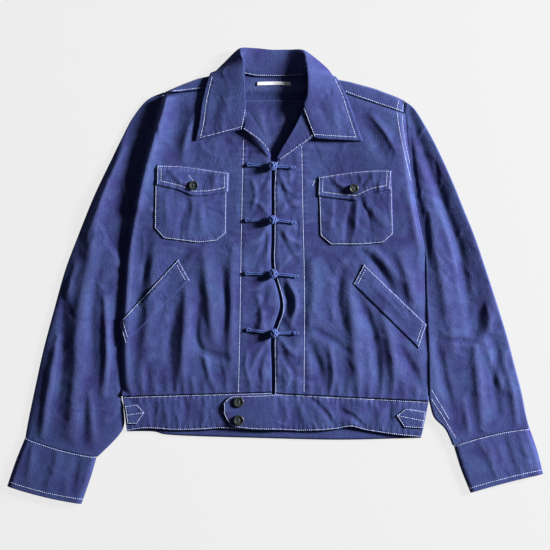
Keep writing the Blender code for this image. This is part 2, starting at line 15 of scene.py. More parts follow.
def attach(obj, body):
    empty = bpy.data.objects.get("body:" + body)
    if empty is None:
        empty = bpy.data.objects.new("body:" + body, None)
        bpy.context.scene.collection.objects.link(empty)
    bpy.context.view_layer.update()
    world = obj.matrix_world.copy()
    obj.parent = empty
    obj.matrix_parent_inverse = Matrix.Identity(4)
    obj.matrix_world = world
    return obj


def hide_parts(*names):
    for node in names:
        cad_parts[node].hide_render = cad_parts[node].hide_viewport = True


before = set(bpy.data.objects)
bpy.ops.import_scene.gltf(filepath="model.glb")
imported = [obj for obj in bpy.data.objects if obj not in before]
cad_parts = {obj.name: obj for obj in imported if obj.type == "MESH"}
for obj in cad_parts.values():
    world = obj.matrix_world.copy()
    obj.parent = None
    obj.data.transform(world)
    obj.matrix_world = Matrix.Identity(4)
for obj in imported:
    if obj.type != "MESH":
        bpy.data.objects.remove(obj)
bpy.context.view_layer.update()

bl_info = {
    "name": "Work Jacket",
    "version": (1, 0, 0),
    "blender": (4, 5, 0),
    "location": "View3D > Sidebar > Jacket",
    "description": "Cloth, sewing and trimmings of a work jacket laid flat",
    "category": "Object",
}

MM = 0.001
SIDES = ("left", "right")
BODY_TOP = 6.6       # top of the front panels where no fold lifts them
FRONT_LOW = 3.2      # no trough of a front goes lower than this
SHOULDER_TOP = 7.2   # top of the yoke
SLEEVE_TOP = 6.8     # top of a sleeve where no fold lifts it
CUFF_TOP = 7.4
TIP = 2.6            # height of the folded edge of a sleeve
BAND_LOW = 3.0       # underside of the front waistband
NECK_LIFT = 3.0      # underside of the yoke where the collar lies beneath it
OUTWARD = {"left": -1, "right": 1}
FRONT_SIZE = (238, 490)   # width and length of a front, for the count of its cells
COLLAR_SIZE = (100, 330)  # depth and length of the collar, for the count of its cells
TUBE_WIDTH = 130          # width and lengths of sleeve and cuff, for the count of their cells
SLEEVE_LENGTH = 580
CUFF_LENGTH = 78
LOWER_LAYER = (0.03, 0.15, 0.35, 0.55, 0.75, 0.9, 0.97, 1.0)   # shares across a sleeve's lower layer
SIDE_DROP = {"left": 2.2, "right": 0.8}   # how far a front's side seam goes down
BACK_INSET = 0.8     # how far the back's edges stay inside those of the fronts
BACK_CELLS = 2.6     # cells of the back waistband, against those of the front one
BAND_INSET = 1.7     # stitching of the waistband, in from its edges
COLLAR_INSET = 0.945   # stitching of the collar, as a share of the way to its free edge
# shares along the collar where its row of stitching starts and ends
COLLAR_STITCHED = {"left": (0.012, 0.2), "right": (0.988, 0.8)}
PATCH_LIFT = {"pocket": 0.95, "welt": 0.9, "flap": 1.1, "tab": 0.95}   # height above the panel beneath
TAPE_WALL = 0.0006   # wall of the label, in metres
LATTICE = 64         # cells of the random field before it repeats
LINE_STEPS = 6       # points on a fold's curve from one traced point to the next
# the ridge and trough mask below carries both real wear and painted shade
WEAR_AND_SHADE_CELLS = 4       # reach of the average that tells ridges from troughs
CREASE_LENGTH = (12, 34)    # least length of a small crease, and how much longer it may be
CREASE_WIDTH = (2.4, 3.4)   # least half width, and how much wider it may be
CREASE_BEND = 24     # spread of the bend at its middle, in degrees
GROOVE_WIDTH = 2.2   # half width of the groove under a row of stitches
THREAD_LIFT = 0.12   # height of a stitch's middle above the cloth
STITCH_TREE = "row of stitches"
# pull of a row of stitches: depth of its groove, height of its puckers, their length, their reach, seed
PULL = {
    "placket": (0.6, 0.45, 9.0, 7.0, 5),
    "waist seam": (0.2, 0.6, 17, 22, 9),
    "front edge": (0.4, 0.5, 10, 6, 3),
    "collar": (0.5, 0.45, 7.5, 4.5, 21),
    "waistband": (0.5, 0.4, 9, 7, 13),
    "patch": (0.35, 0.3, 8, 5, 17),
}
# seeds of the small waves of worn cloth
SEEDS = {
    "front_left": 11, "front_right": 31, "collar": 41, "facing": 51, "waistband_back": 61, "waistband": 63,
    "yoke": 71, "patch": 81, "back": 91, "sleeve_left": 101, "cuff_left": 110, "sleeve_right": 131,
    "cuff_right": 140,
}
# stage, in metres and degrees
FLOOR_HALF = 4.0
FLOOR_LOW = -0.0004
FLOOR_GLOW = 0.93    # share of the floor's own light, so that it stays as pale as the picture's ground
KEY_TURN = 17        # key light, round from the right
KEY_RISE = 19        # key light, up from the surface
KEY_FAR = 3.6
KEY_SIZE = 0.72
KEY_POWER = 480.0
ROOM_LIGHT = 0.075
CAMERA_HEIGHT = 2.45
LENS = 100
SENSOR = 36

# armhole line: shoulder end, armpit end, how far its middle bows in x
ARMHOLE = {
    "left": {"shoulder": (-178, 291), "armpit": (-239, 40), "bow": -8},
    "right": {"shoulder": (207, 277), "armpit": (240, 45), "bow": -5},
}
# side seam under the armpit: y, x
SIDE_SEAM = {
    "left": ((40, -239), (-11, -243.5), (-67, -249), (-112, -248), (-160, -246), (-270, -245)),
    "right": ((45, 240), (-24, 240.5), (-80, 243), (-136, 245), (-270, 247)),
}
# front panel, a row from its side to its centre edge: side y, centre x, centre y
FRONT_ROWS = {
    "left": (
        (287, -69, 301.5), (270, -57, 283), (250, -46.5, 262), (230, -34, 243), (205, -21, 222),
        (178, -9.5, 199), (150, -6, 176), (112, -5.8, 140), (75, -5.8, 100), (40, -5.8, 60),
        (-5, -5.8, 10), (-60, 8, -45), (-112, -6, -97), (-155, -5.6, -146), (-194, -5.2, -187),
    ),
    "right": (
        (257.8, 66, 304.5), (240, 56, 285), (222, 45, 264), (202, 36, 243), (180, 24, 223),
        (158, 11, 201), (132, 1.5, 180), (100, -2, 142), (72, -2, 104), (43, -2, 60),
        (-10, -2, 12), (-64, 12, -50), (-115, -1, -97), (-160, -1, -146), (-201.5, -1, -189),
    ),
}
# folds of a panel: half width, height (a trough is below zero), lean, then the points it runs through
FRONT_FOLDS = {
    "left": (
        (9, 9.2, 0.5, (-172.8, 312), (-177.6, 280), (-189.6, 228.8), (-204.8, 176), (-220.8, 112)),
        (9, 3.2, 0.5, (-172.8, 315.2), (-174.4, 273.6), (-184, 235.2)),
        (8, 5.6, 0.4, (-220.8, 112), (-232.8, 48), (-238.4, -40), (-240.8, -112), (-240, -177.6)),
        (60, 4.5, 0.0, (-200, 176), (-203.2, 48)),
        (45, -2.5, 0.0, (-72, 184), (-72, 56)),
        (11, -2.4, 0.0, (-148.8, 270.4), (-156.8, 232), (-164.8, 196.8)),
        (7, 2.2, 0.1, (-131.2, 251.2), (-142.4, 216), (-145.6, 187.2)),
        (11, 3.4, 0.2, (-112, 36.8), (-107.2, -24), (-99.2, -100.8)),
        (10, 3.4, 0.25, (-140.8, -11.2), (-144, -88), (-152, -180.8)),
        (12, 3.0, 0.2, (-188.8, 59.2), (-198.4, -40), (-214.4, -171.2)),
        (8, 2.2, 0.2, (-68.8, 43.2), (-70.4, -40), (-72, -155.2)),
        (6, -2.0, 0.0, (-204.8, 27.2), (-208, 4.8), (-212.8, -24)),
        (6, -1.6, 0.0, (-140.8, 115.2), (-150.4, 84.8), (-152, 56)),
        (7, -1.8, 0.0, (-132.8, 43.2), (-145.6, 30.4), (-158.4, 17.6)),
        (8, -2.6, 0.0, (-158.4, -49.6), (-168, -104), (-168, -148.8)),
        (6, -2.6, 0.0, (-123.2, -49.6), (-126.4, -100.8), (-112, -123.2), (-76.8, -132.8)),
        (6, -2.0, 0.0, (-84.8, 11.2), (-78.4, -56), (-84.8, -100.8)),
        (5, -2.0, 0.0, (-203.2, -145.6), (-206.4, -187.2)),
        (6, 2.4, 0.2, (-113.6, -123.2), (-100.8, -180.8)),
        (4, 1.5, 0.0, (-36.8, 152), (-30.4, 132.8), (-35.2, 107.2)),
        (4, -1.3, 0.0, (-11.2, 164.8), (-20.8, 142.4), (-36.8, 123.2)),
        (4, 1.3, 0.0, (-11.2, 97.6), (-24, 113.6), (-40, 120)),
        (4, 1.4, 0.0, (-11.2, 78.4), (-27.2, 56), (-46.4, 46.4)),
        (3, -1.2, 0.0, (-14.4, 68.8), (-19.2, 40), (-32, 20.8)),
        (4, 1.3, 0.0, (-11.2, -8), (-25.6, -20.8), (-43.2, -24)),
        (4, -1.2, 0.0, (-14.4, -14.4), (-20.8, -46.4), (-36.8, -65.6)),
        (5, 1.8, 0.2, (-27.2, -33.6), (-20.8, -68.8), (-30.4, -100.8)),
        (4, 1.4, 0.0, (-9.6, -104), (-24, -123.2), (-40, -155.2)),
        (4, -1.4, 0.0, (-17.6, -123.2), (-27.2, -152), (-20.8, -177.6)),
        (4, 1.2, 0.0, (-43.2, -120), (-46.4, -145.6), (-40, -177.6)),
    ),
    "right": (
        (60, 5.5, 0.0, (200, 248), (201.6, 168), (208, 56)),
        (60, -3.0, 0.0, (68.8, 200), (68.8, 56)),
        (12, 3.6, 0.2, (120, -17.6), (126.4, -88), (132.8, -184)),
        (7, -3.0, 0.0, (129.6, -30.4), (155.2, -88), (163.2, -136), (164.8, -187.2)),
        (10, 3.4, 0.2, (174.4, -65.6), (187.2, -120), (193.6, -180.8)),
        (7, -2.4, 0.0, (200, -116.8), (216, -145.6), (232, -177.6)),
        (6, -3.2, 0.0, (139.2, 36.8), (161.6, 17.6), (174.4, -1.6), (187.2, -24)),
        (7, 2.0, 0.0, (158.4, 40), (187.2, 8), (200, -11.2)),
        (7, -2.6, 0.0, (54.4, -108.8), (70.4, -145.6), (76.8, -180.8)),
        (5, -1.9, 0.0, (59.2, -84.8), (96, -107.2), (115.2, -123.2)),
        (10, 3.6, 0.2, (200, 30.4), (212.8, -8), (220.8, -46.4)),
        (9, -1.5, 0.0, (142.4, 251.2), (158.4, 219.2), (177.6, 184)),
        (6, -2.2, 0.0, (105.6, 4.8), (100.8, -40), (110.4, -84.8)),
        (11, 2.4, 0.2, (60.8, 30.4), (62.4, -24), (60.8, -81.6)),
        (8, 1.6, 0.2, (211.2, 136), (220.8, 96), (228.8, 43.2)),
        (6, 2.2, 0.2, (155.2, 254.4), (177.6, 225.6), (193.6, 196.8)),
        (4, 1.5, 0.2, (8, 161.6), (17.6, 139.2), (35.2, 126.4)),
        (4, -1.3, 0.0, (9.6, 148.8), (14.4, 126.4), (27.2, 104)),
        (4, 1.4, 0.0, (8, 99.2), (20.8, 112), (36.8, 115.2)),
        (4, 1.5, 0.0, (8, 76.8), (22.4, 59.2), (38.4, 52.8)),
        (4, -1.4, 0.0, (9.6, 68.8), (19.2, 43.2), (35.2, 20.8)),
        (4, 1.4, 0.0, (9.6, 11.2), (20.8, 27.2), (36.8, 33.6)),
        (3, -1.0, 0.0, (30.4, 97.6), (36.8, 78.4), (33.6, 59.2)),
        (6, 3.2, 0.3, (20.8, -11.2), (33.6, -41.6), (25.6, -78.4)),
        (6, -3.4, 0.0, (9.6, -14.4), (20.8, -41.6), (11.2, -75.2)),
        (4, 2.2, 0.0, (6.4, -24), (14.4, -44.8), (9.6, -65.6)),
        (6, -1.5, 0.3, (123.2, 121.6), (115.2, 84.8), (113.6, 51.2)),
        (4, -1.2, 0.0, (136, 121.6), (147.2, 100.8), (153.6, 75.2)),
        (6, 1.6, 0.0, (145.6, 120), (161.6, 97.6), (174.4, 84.8)),
        (4, 1.6, 0.2, (8, -100.8), (22.4, -120), (35.2, -129.6)),
        (4, -1.4, 0.0, (11.2, -112), (17.6, -139.2), (32, -158.4)),
        (4, 1.4, 0.0, (14.4, -139.2), (24, -161.6), (17.6, -184)),
        (6, 2.0, 0.1, (88, -120), (94.4, -155.2), (92.8, -187.2)),
    ),
}
# lines where a front is pulled in by its sewing
FRONT_SEWN = {
    "left": (
        ((-50.4, 214.4), (-52.3, 148.8), (-54.4, 48), (-56, -65.6), (-58.6, -185.6)),
        ((-246.4, -191.4), (-200, -188.8), (-120, -186.4), (-6.4, -184)),
    ),
    "right": (
        ((42.6, 204.8), (44, 120), (46.4, 19.2), (47.2, -65.6), (46.4, -185.6)),
        ((0, -186.4), (48, -185.6), (112, -189.6), (248, -198.4)),
        ((5.1, 182.4), (0, 164.8), (-0.6, 94.4), (1.6, 14.4), (-0.6, -11.2), (13.1, -51.2), (4.8, -72),
         (-0.3, -105.6), (0.6, -184)),
    ),
}
# fields of small creases: low x, low y, high x, high y, count, heading in degrees, its spread, height
CREASE_FIELDS = {
    "front_left": ((-235, -190, -60, 260, 110, 70, 55, 0.65), (-50, -185, -8, 200, 60, 60, 70, 0.8),
                   (-235, -192, -12, -150, 18, 84, 24, 0.6)),
    "front_right": ((60, -190, 235, 250, 110, 110, 55, 0.65), (2, -185, 46, 190, 60, 120, 70, 0.8),
                    (6, -198, 235, -155, 18, 98, 24, 0.6)),
    "sleeve_left": ((-385, -255, -190, 240, 140, 78, 45, 0.7),),
    "sleeve_right": ((215, -255, 395, 240, 140, 110, 45, 0.8),),
    "cuff_left": ((-420, -360, -290, -270, 22, 70, 40, 0.5),),
    "cuff_right": ((290, -345, 420, -250, 22, 110, 40, 0.5),),
    "collar": ((-125, 215, -50, 320, 22, 75, 40, 0.5), (50, 215, 135, 320, 22, 105, 40, 0.5),
               (-50, 318, 50, 350, 12, 90, 20, 0.5)),
    "back": ((-45, 170, 45, 278, 16, 90, 40, 0.7),),
    "waistband_left": ((-240, -246, -10, -192, 34, 88, 24, 0.6),),
    "waistband_right": ((-76, -252, 240, -194, 44, 95, 28, 0.7),),
    "pocket_left": ((-185, 60, -82, 140, 16, 80, 40, 0.7),),
    "pocket_right": ((75, 55, 182, 135, 20, 95, 40, 0.8),),
    "flap_left": ((-185, 132, -80, 172, 12, 60, 50, 0.5),),
    "flap_right": ((74, 125, 182, 165, 12, 110, 50, 0.6),),
    "welt_left": ((-240, -100, -140, 15, 10, 45, 40, 0.5),),
    "welt_right": ((130, -110, 240, 10, 10, 135, 40, 0.5),),
}
# sections of a sleeve from shoulder to cuff seam; where sewn is 0 a section ends on the armhole,
# where it is 1 on the sleeve's own seam under the arm: outer x, outer y, inner x, inner y, bow y, sewn
SLEEVE_ROWS = {
    "left": (
        (-178.3, 292.6, -180, 284, 0, 0), (-205, 280, -195, 240, 0, 0),
        (-228, 252, -206, 202, 0, 0), (-245, 220, -216, 160, 0, 0),
        (-261, 187, -226, 118, 0, 0), (-279, 150, -233, 76, 0, 0),
        (-293.5, 118, -239, 42, 0, 0), (-315, 64, -243.5, -4, 0, 1),
        (-336, 8, -250, -58, 0, 1), (-354, -56, -249.5, -112, 0, 1),
        (-371, -120, -248, -164, 0, 1), (-385, -184, -244, -212, 0, 1),
        (-395, -232, -246.5, -249, -2, 1), (-400, -260, -285.5, -291, -4, 1),
    ),
    "right": (
        (207.5, 278.5, 208, 270, 0, 0), (223.5, 266, 209, 226, 0, 0),
        (243, 235, 213, 184, 0, 0), (258.5, 206, 218, 146, 0, 0),
        (274, 173, 226, 110, 0, 0), (288.5, 140, 233, 76, 0, 0),
        (302.5, 105, 240, 47, 0, 0), (320.5, 60, 242.4, 0, 0, 1),
        (339.5, 4, 243.6, -52, 0, 1), (355.5, -46, 245.6, -104, 0, 1),
        (371, -96, 247, -150, 0, 1), (383, -142, 248.5, -194, 1, 1),
        (394, -184, 255, -226, 2, 1), (402, -224, 274, -247, 3, 1),
        (407.5, -245, 286, -273, 4, 1),
    ),
}
SLEEVE_FOLDS = {
    "left": (
        (12, 5.4, 0.0, (-249.6, 203.2), (-270.4, 152), (-286.4, 94.4), (-299.2, 36.8)),
        (14, 5.2, 0.2, (-291.2, 46.4), (-305.6, -24), (-315.2, -88), (-318.4, -168), (-326.4, -254.4)),
        (7, 4.0, 0.2, (-272, -36.8), (-268.8, -120), (-273.6, -187.2)),
        (7, 3.2, 0.3, (-347.2, -100.8), (-363.2, -184), (-372.8, -257.6)),
        (7, -2.0, 0.0, (-278.4, 27.2), (-292.8, -56), (-291.2, -155.2)),
        (7, -2.0, 0.0, (-339.2, -36.8), (-340.8, -136), (-348.8, -219.2)),
        (6, 2.2, 0.2, (-292.8, 112), (-308.8, 62.4)),
        (6, 2.0, 0.2, (-296, -187.2), (-291.2, -264)),
        (5, -1.6, 0.0, (-305.6, -200), (-307.2, -272)),
        (8, 2.2, 0.2, (-318.4, 20.8), (-334.4, -40)),
    ),
    "right": (
        (8, -3.4, 0.0, (214.4, 260.8), (233.6, 208), (251.2, 160), (275.2, 96), (294.4, 40), (305.6, -24),
         (315.2, -91.2)),
        (4, -1.8, 0.0, (216, 232), (219.2, 192), (224, 148.8), (233.6, 97.6)),
        (4, -1.8, 0.0, (241.6, 97.6), (243.2, 14.4)),
        (7, -2.6, 0.0, (337.6, -94.4), (353.6, -120), (350.4, -160), (356.8, -219.2)),
        (7, -2.4, 0.0, (257.6, -100.8), (270.4, -168), (284.8, -219.2)),
        (18, 4.4, 0.0, (232, 254.4), (244.8, 232), (264, 196.8), (280, 161.6), (305.6, 97.6),
         (324.8, 46.4), (344, -8), (358.4, -52.8)),
        (13, 3.6, 0.2, (230.4, 200), (259.2, 40), (288, -120)),
        (9, 1.6, 0.2, (251.2, 136), (273.6, 72), (289.6, 8)),
        (10, 3.2, 0.2, (320, -104), (326.4, -184), (334.4, -244.8)),
        (7, 2.2, 0.2, (368, -136), (382.4, -200), (388.8, -244.8)),
        (5, 1.6, 0.2, (302.4, -200), (312, -257.6)),
        (6, -1.6, 0.0, (339.2, -40), (324.8, -65.6), (318.4, -104)),
        (8, -1.6, 0.0, (318.4, -36.8), (324.8, -68.8), (318.4, -104)),
        (7, 2.6, 0.2, (339.2, -40), (342.4, -75.2), (334.4, -107.2)),
        (4, -1.8, 0.0, (267.2, -105.6), (292.8, -104), (318.4, -107.2)),
        (6, 2.2, 0.2, (339.2, -113.6), (348.8, -145.6), (363.2, -180.8)),
    ),
}
# how a sleeve lies beside the body: share of its height at the armhole, then how wide it rises
# from its own seam, from the armhole and from its outer fold, and where its folds begin there
TUCK = {"sleeve_left": (0.05, 46, 84, 34, 16), "sleeve_right": (0.8, 3, 14, 1.5, 2)}
CUFF_TUCK = (0.5, 9, 20, 9, 14)
# cuff sections from seam to hem: outer x, outer y, inner x, inner y, bow y, sewn
CUFF_ROWS = {
    "left": (
        (-400.2, -260.5, -285.7, -291.5, -4, 1), (-415, -297, -295.5, -325, -4, 1),
        (-429, -338, -310, -366.5, -3, 1),
    ),
    "right": (
        (407.7, -245.5, 286.2, -273.5, 4, 1), (420, -281, 297.5, -310, 3, 1),
        (429.5, -318.5, 313, -348.5, 1.5, 1),
    ),
}
CUFF_FOLDS = {
    "left": ((8, 1.6, 0.2, (-347.2, -283.2), (-352, -312), (-363.2, -337.6)),
             (6, -1.2, 0.0, (-315.2, -292.8), (-324.8, -344)),
             (7, 1.2, 0.2, (-385.6, -273.6), (-395.2, -328))),
    "right": ((8, 1.6, 0.2, (331.2, -267.2), (347.2, -299.2), (356.8, -324.8)),
              (6, -1.2, 0.0, (364.8, -257.6), (382.4, -312)),
              (7, 1.2, 0.2, (392, -254.4), (408, -308.8))),
}
# shoulder fold of the yoke, its seam with the fronts and its seam with the back: x, y
SHOULDER = (
    (-182, 290.5), (-168, 296.5), (-146, 306), (-123, 314.5), (-109, 317.5), (-70, 326), (66, 319),
    (101, 312.5),
    (123, 308.5), (160, 298.3), (192, 286.2), (208, 279),
)
YOKE_SEAM = ((-180, 289.8), (-69, 302), (66, 305), (207, 258.8))
YOKE_ENDS = (-178, 206)
YOKE_STEPS = (12, 10, 10)   # cells behind the shoulder fold, round it and before it
YOKE_COLUMNS = 46           # columns across the neck, and to the right of it
BACK_SEAM = ((-190, 271), (-70, 280), (66, 280), (215, 257))
NECK_Y = 322
NECK_LEFT = -70
NECK_RIGHT = 66
BACK_FOLDS = (
    (10, 1.6, 0.0, (-27.2, 273.6), (-20.8, 240), (-11.2, 206.4)),
    (8, 1.2, 0.0, (16, 273.6), (11.2, 244.8), (3.2, 216)),
    (6, 1.0, 0.0, (-4.8, 267.2), (-3.2, 232)),
)
# collar stations from its left end round the neck to its right end, four points each:
# neck seam, roll, turn of the leaf, free edge, every point x, y, z
COLLAR_ROWS = (
    ((-57, 234, 10.5), (-54, 233, 11.8), (-91, 223, 11.3), (-128, 214, 9.8)),
    ((-58, 262, 8.8), (-47, 264, 13.0), (-84, 253, 12.4), (-122, 243, 10.2)),
    ((-66, 288, 8.8), (-48, 288, 14.5), (-82, 282, 13.6), (-117, 277, 11.0)),
    ((-69, 309, 8.8), (-49, 312, 16.5), (-80, 312, 15.2), (-108, 310, 11.6)),
    ((-67, 315, 7.6), (-49, 327, 17.0), (-82, 329, 13.0), (-102, 324, 7.5)),
    ((-62, 320, 6.8), (-50, 340, 17.0), (-90, 342, 0.8), (-97, 318, 0.6)),
    ((-50, 321, 6.2), (-52, 353, 14.0), (-66, 358, 0.8), (-76, 309, 0.8)),
    ((-30, 317.5, 6.2), (-32, 354, 9.5), (-32, 356, 0.8), (-32, 308, 0.8)),
    ((-5, 317.2, 6.2), (-5, 352, 8.5), (-5, 354, 0.8), (-5, 307, 0.8)),
    ((21, 317.4, 6.2), (21, 352, 9.5), (21, 354, 0.8), (21, 307, 0.8)),
    ((46, 319, 6.2), (44, 350, 18.0), (56, 354, 0.8), (64, 306, 0.8)),
    ((58, 316, 6.8), (49, 335, 21.0), (88, 338, 0.8), (92, 312, 0.6)),
    ((63, 311, 7.6), (51, 322, 21.5), (80, 323, 12.5), (96, 318, 5.0)),
    ((66, 306, 8.8), (52, 309, 21.0), (78, 311, 15.5), (103, 308, 10.5)),
    ((66, 286, 8.8), (51, 286, 19.5), (84, 285, 15.0), (115, 285, 9.8)),
    ((58, 262, 8.8), (46, 265, 16.5), (86, 258, 14.0), (125, 258, 9.6)),
    ((67, 219, 10.5), (65, 218, 13.0), (101, 216, 11.5), (140, 214, 10.2)),
)
COLLAR_FOLDS = (
    (7, 0.9, 0.0, (-68.8, 296), (-78.4, 260.8), (-81.6, 235.2)),
    (6, -0.8, 0.0, (-86.4, 292.8), (-97.6, 254.4), (-100.8, 232)),
    (7, 0.9, 0.0, (88, 286.4), (97.6, 254.4), (100.8, 225.6)), (6, -0.8, 0.0, (68.8, 280), (81.6, 244.8)),
    (6, 0.8, 0.0, (-20.8, 353.6), (-22.4, 328)), (6, 0.7, 0.0, (9.6, 353.6), (12.8, 324.8)),
)
# lapel facing, a row from the roll to the stitched edge: roll x, y, z, edge x, y, z
FACING_ROWS = {
    "left": (
        (-43.5, 261.5, 13.0, -49.5, 231.5, 12.6), (-32.5, 245, 12.6, -41, 226, 12.8),
        (-20, 224, 11.8, -31, 220, 12.4), (-10, 202, 10.6, -19, 211, 11.4),
        (-7, 190, 8.8, -10, 199, 9.6),
    ),
    "right": (
        (43, 262.5, 14.0, 60.5, 220, 11.6), (34.5, 243, 13.0, 50, 211.5, 11.0),
        (23, 222, 11.8, 38, 204.5, 10.2), (11, 202, 10.0, 24, 195, 9.2),
        (3, 187, 8.6, 8, 185, 8.6),
    ),
}
# waistband pieces, a row for each place along it: top x, top y, bottom x, bottom y, lift
BAND_ROWS = {
    "left": (
        (-244, -194.8, -237, -250, 0), (-200, -193.4, -206, -246, 0), (-160, -192.2, -162, -248.5, 0),
        (-120, -191, -120, -248, 0), (-90, -190.2, -86, -246, 0), (-40, -188.8, -40, -248, 0),
        (-7, -187.8, -7, -248, 0),
    ),
    "right": (
        (-82, -206, -82, -219, 3.6), (-79, -201, -78, -229, 3.4), (-72, -195, -72, -239, 2.9),
        (-63, -193, -63, -244, 2.6), (-38, -192.5, -38, -247, 2.6), (-12, -191.5, -12, -248, 2.6),
        (2, -190.2, 2, -248, 2.0), (22, -190.9, 22, -249, 0), (48, -192.3, 42, -250, 0),
        (80, -193.9, 72, -249, 1.4), (112, -195.6, 98, -247, 0), (144, -197.2, 122, -243, 1.8),
        (168, -198.4, 146, -249, 0), (208, -200.5, 192, -256, 0.6), (246, -202.5, 234, -260, 0),
    ),
    "back": (
        (-244, -196, -237, -250.5, 0), (-195, -196, -195, -250.8, 0), (-160, -196, -160, -256.8, 0),
        (0, -197, 0, -262, 0), (104, -199.5, 104, -264, 0), (200, -202, 197, -262, 0),
        (246, -204, 234, -261, 0),
    ),
}
BAND_FOLDS = {
    "left": (
        (5, -1.1, 0.0, (-145.6, -195.2), (-142.4, -219.2), (-148.8, -243.2)),
        (6, 1.0, 0.0, (-176, -196.8), (-171.2, -241.6)),
        (5, 1.0, 0.0, (-110.4, -196.8), (-115.2, -238.4)),
        (5, -0.9, 0.0, (-196.8, -196.8), (-193.6, -241.6)),
    ),
    "right": (
        (4, -1.4, 0.0, (56, -195.2), (80, -219.2), (96, -241.6)),
        (4, -1.4, 0.0, (104, -217.6), (123.2, -225.6), (144, -244.8)),
        (5, 1.2, 0.0, (-44.8, -227.2), (-33.6, -233.6), (-28.8, -243.2)),
        (5, 1.0, 0.0, (14.4, -196.8), (19.2, -222.4), (16, -243.2)),
        (4, -0.9, 0.0, (3.2, -196.8), (4.8, -219.2)), (6, 1.1, 0.0, (36.8, -200), (49.6, -238.4)),
        (6, 1.0, 0.0, (161.6, -203.2), (171.2, -248)), (5, -0.9, 0.0, (184, -206.4), (180.8, -248)),
    ),
}
# pieces sewn onto a panel, a row for each place along them: top x, top y, bottom x, bottom y
PATCHES = {
    "pocket_left": ((-191, 171, -193, 75), (-178, 170, -178, 58), (-122, 167, -122, 51),
                    (-94, 166, -94, 54), (-77, 165, -78, 66)),
    "pocket_right": ((69, 155, 72, 63), (86, 158, 89, 48), (138, 164, 138, 48), (172, 166, 173, 51),
                     (186, 165, 189, 65)),
    "flap_left": ((-189, 176, -190, 144), (-155, 175.6, -155, 136), (-132, 173, -132, 126),
                  (-106, 169, -106, 127), (-73, 164, -74, 133)),
    "flap_right": ((69, 157.5, 68, 126.5), (97, 162, 99, 122), (122, 165.4, 129.6, 119),
                   (158, 168.5, 158, 131.5), (186.5, 167.5, 185, 136.3)),
    "welt_left": ((-155, 26, -136, -8), (-249, -76, -239.5, -110)),
    "welt_right": ((142, 18, 125, -14), (243, -79.3, 230, -117)),
    "tab_left": ((-241, -209, -237, -239), (-221, -206, -221, -239), (-208, -219.5, -208, -220.5)),
    "tab_right": ((194, -224.5, 194, -225.5), (209, -212.5, 206, -244), (242, -218, 237, -246)),
}
PATCH_FOLDS = {
    "pocket_left": ((5, 1.0, 0.0, (-129.6, 120), (-136, 68.8)),
                    (8, 1.4, 0.0, (-120, 112), (-116.8, 68.8)),
                    (7, 1.2, 0.0, (-174.4, 123.2), (-171.2, 75.2))),
    "pocket_right": ((5, 1.4, 0.0, (131.2, 123.2), (129.6, 84.8), (124.8, 56)),
                     (6, 1.0, 0.0, (92.8, 113.6), (91.2, 68.8)),
                     (5, -1.2, 0.0, (105.6, 120), (97.6, 94.4))),
    "flap_left": ((5, 1.3, 0.0, (-164.8, 164.8), (-152, 150.4), (-136, 142.4)),
                  (5, -0.8, 0.0, (-110.4, 163.2), (-116.8, 136)),
                  (5, 0.9, 0.0, (-92.8, 158.4), (-97.6, 136))),
    "flap_right": ((5, 1.4, 0.0, (94.4, 152), (110.4, 140.8), (123.2, 136)),
                   (4, -1.2, 0.0, (112, 163.2), (120, 148.8)),
                   (4, 1.2, 0.0, (140.8, 158.4), (136, 140.8)),
                   (4, -1.0, 0.0, (89.6, 145.6), (107.2, 132.8)),
                   (5, -0.8, 0.0, (142.4, 161.6), (139.2, 136)),
                   (5, 0.9, 0.0, (158.4, 161.6), (153.6, 140.8))),
    "welt_left": ((5, 0.9, 0.0, (-171.2, -4.8), (-200, -33.6), (-225.6, -62.4)),),
    "welt_right": ((5, 0.9, 0.0, (155.2, -14.4), (184, -43.2), (206.4, -68.8)),),
}
# frog fastenings: knot x, knot y, left end x, left end y, right end x, right end y
FROGS = (
    (-4, 174, -41, 176, 30, 172), (-4, 88, -44, 87, 31, 84), (-3, 2, -44, 2, 35, -2),
    (-2, -93, -42, -88, 35, -93),
)
KNOT = (5.2, 6.6, 3.4)   # half width, half length and half height of a knot
KNOT_CORE = 3.2          # radius of its filling
CORD_GAP = 0.2           # space between a cord and the cloth under it
CORD_SIDES = 8
CORD_TWIST = 1.6         # turn of its plies in radians for each millimetre
# buttons: x, y, radius, the piece it is sewn to
BUTTONS = {
    "button_pocket_left": (-130, 143, 7.5, "flap_left"),
    "button_pocket_right": (126, 138, 7.5, "flap_right"),
    "button_waist_upper": (-58, -203, 8.5, "waistband_right"),
    "button_waist_lower": (-58, -232, 8.5, "waistband_right"),
}
# turned profile of a button from its back to the middle of its face: share of its radius, height
BUTTON_PROFILE = (
    (0.0, 0.0), (0.55, 0.0), (0.8, 0.1), (0.97, 0.6), (1.0, 1.3), (0.97, 2.1), (0.9, 2.7), (0.8, 2.8),
    (0.7, 2.3), (0.6, 1.95), (0.5, 1.85), (0.42, 1.8), (0.36, 1.8), (0.3, 1.8), (0.24, 1.8),
    (0.18, 1.8), (0.12, 1.8), (0.06, 1.8), (0.0, 1.8),
)
BUTTON_FACE = 1.8    # height of the sunk face with the holes
BUTTON_SIDES = 48
LABEL = {"left": -29, "right": 25, "low": 303.4, "high": 308.8}


def srgb(code):
    """Linear colour of an sRGB hex code."""
    parts = [int(code[k:k + 2], 16) / 255 for k in (1, 3, 5)]
    return tuple(p / 12.92 if p <= 0.04045 else ((p + 0.055) / 1.055) ** 2.4 for p in parts) + (1.0,)


def length_property(name, description, default):
    """Size in metres."""
    return bpy.props.FloatProperty(name=name, description=description, default=default, min=0.0,
                                   unit="LENGTH")


def colour_property(name, description, code):
    """Colour from its hex code."""
    return bpy.props.FloatVectorProperty(name=name, description=description, default=srgb(code), size=4,
                                         min=0.0, max=1.0, subtype="COLOR")


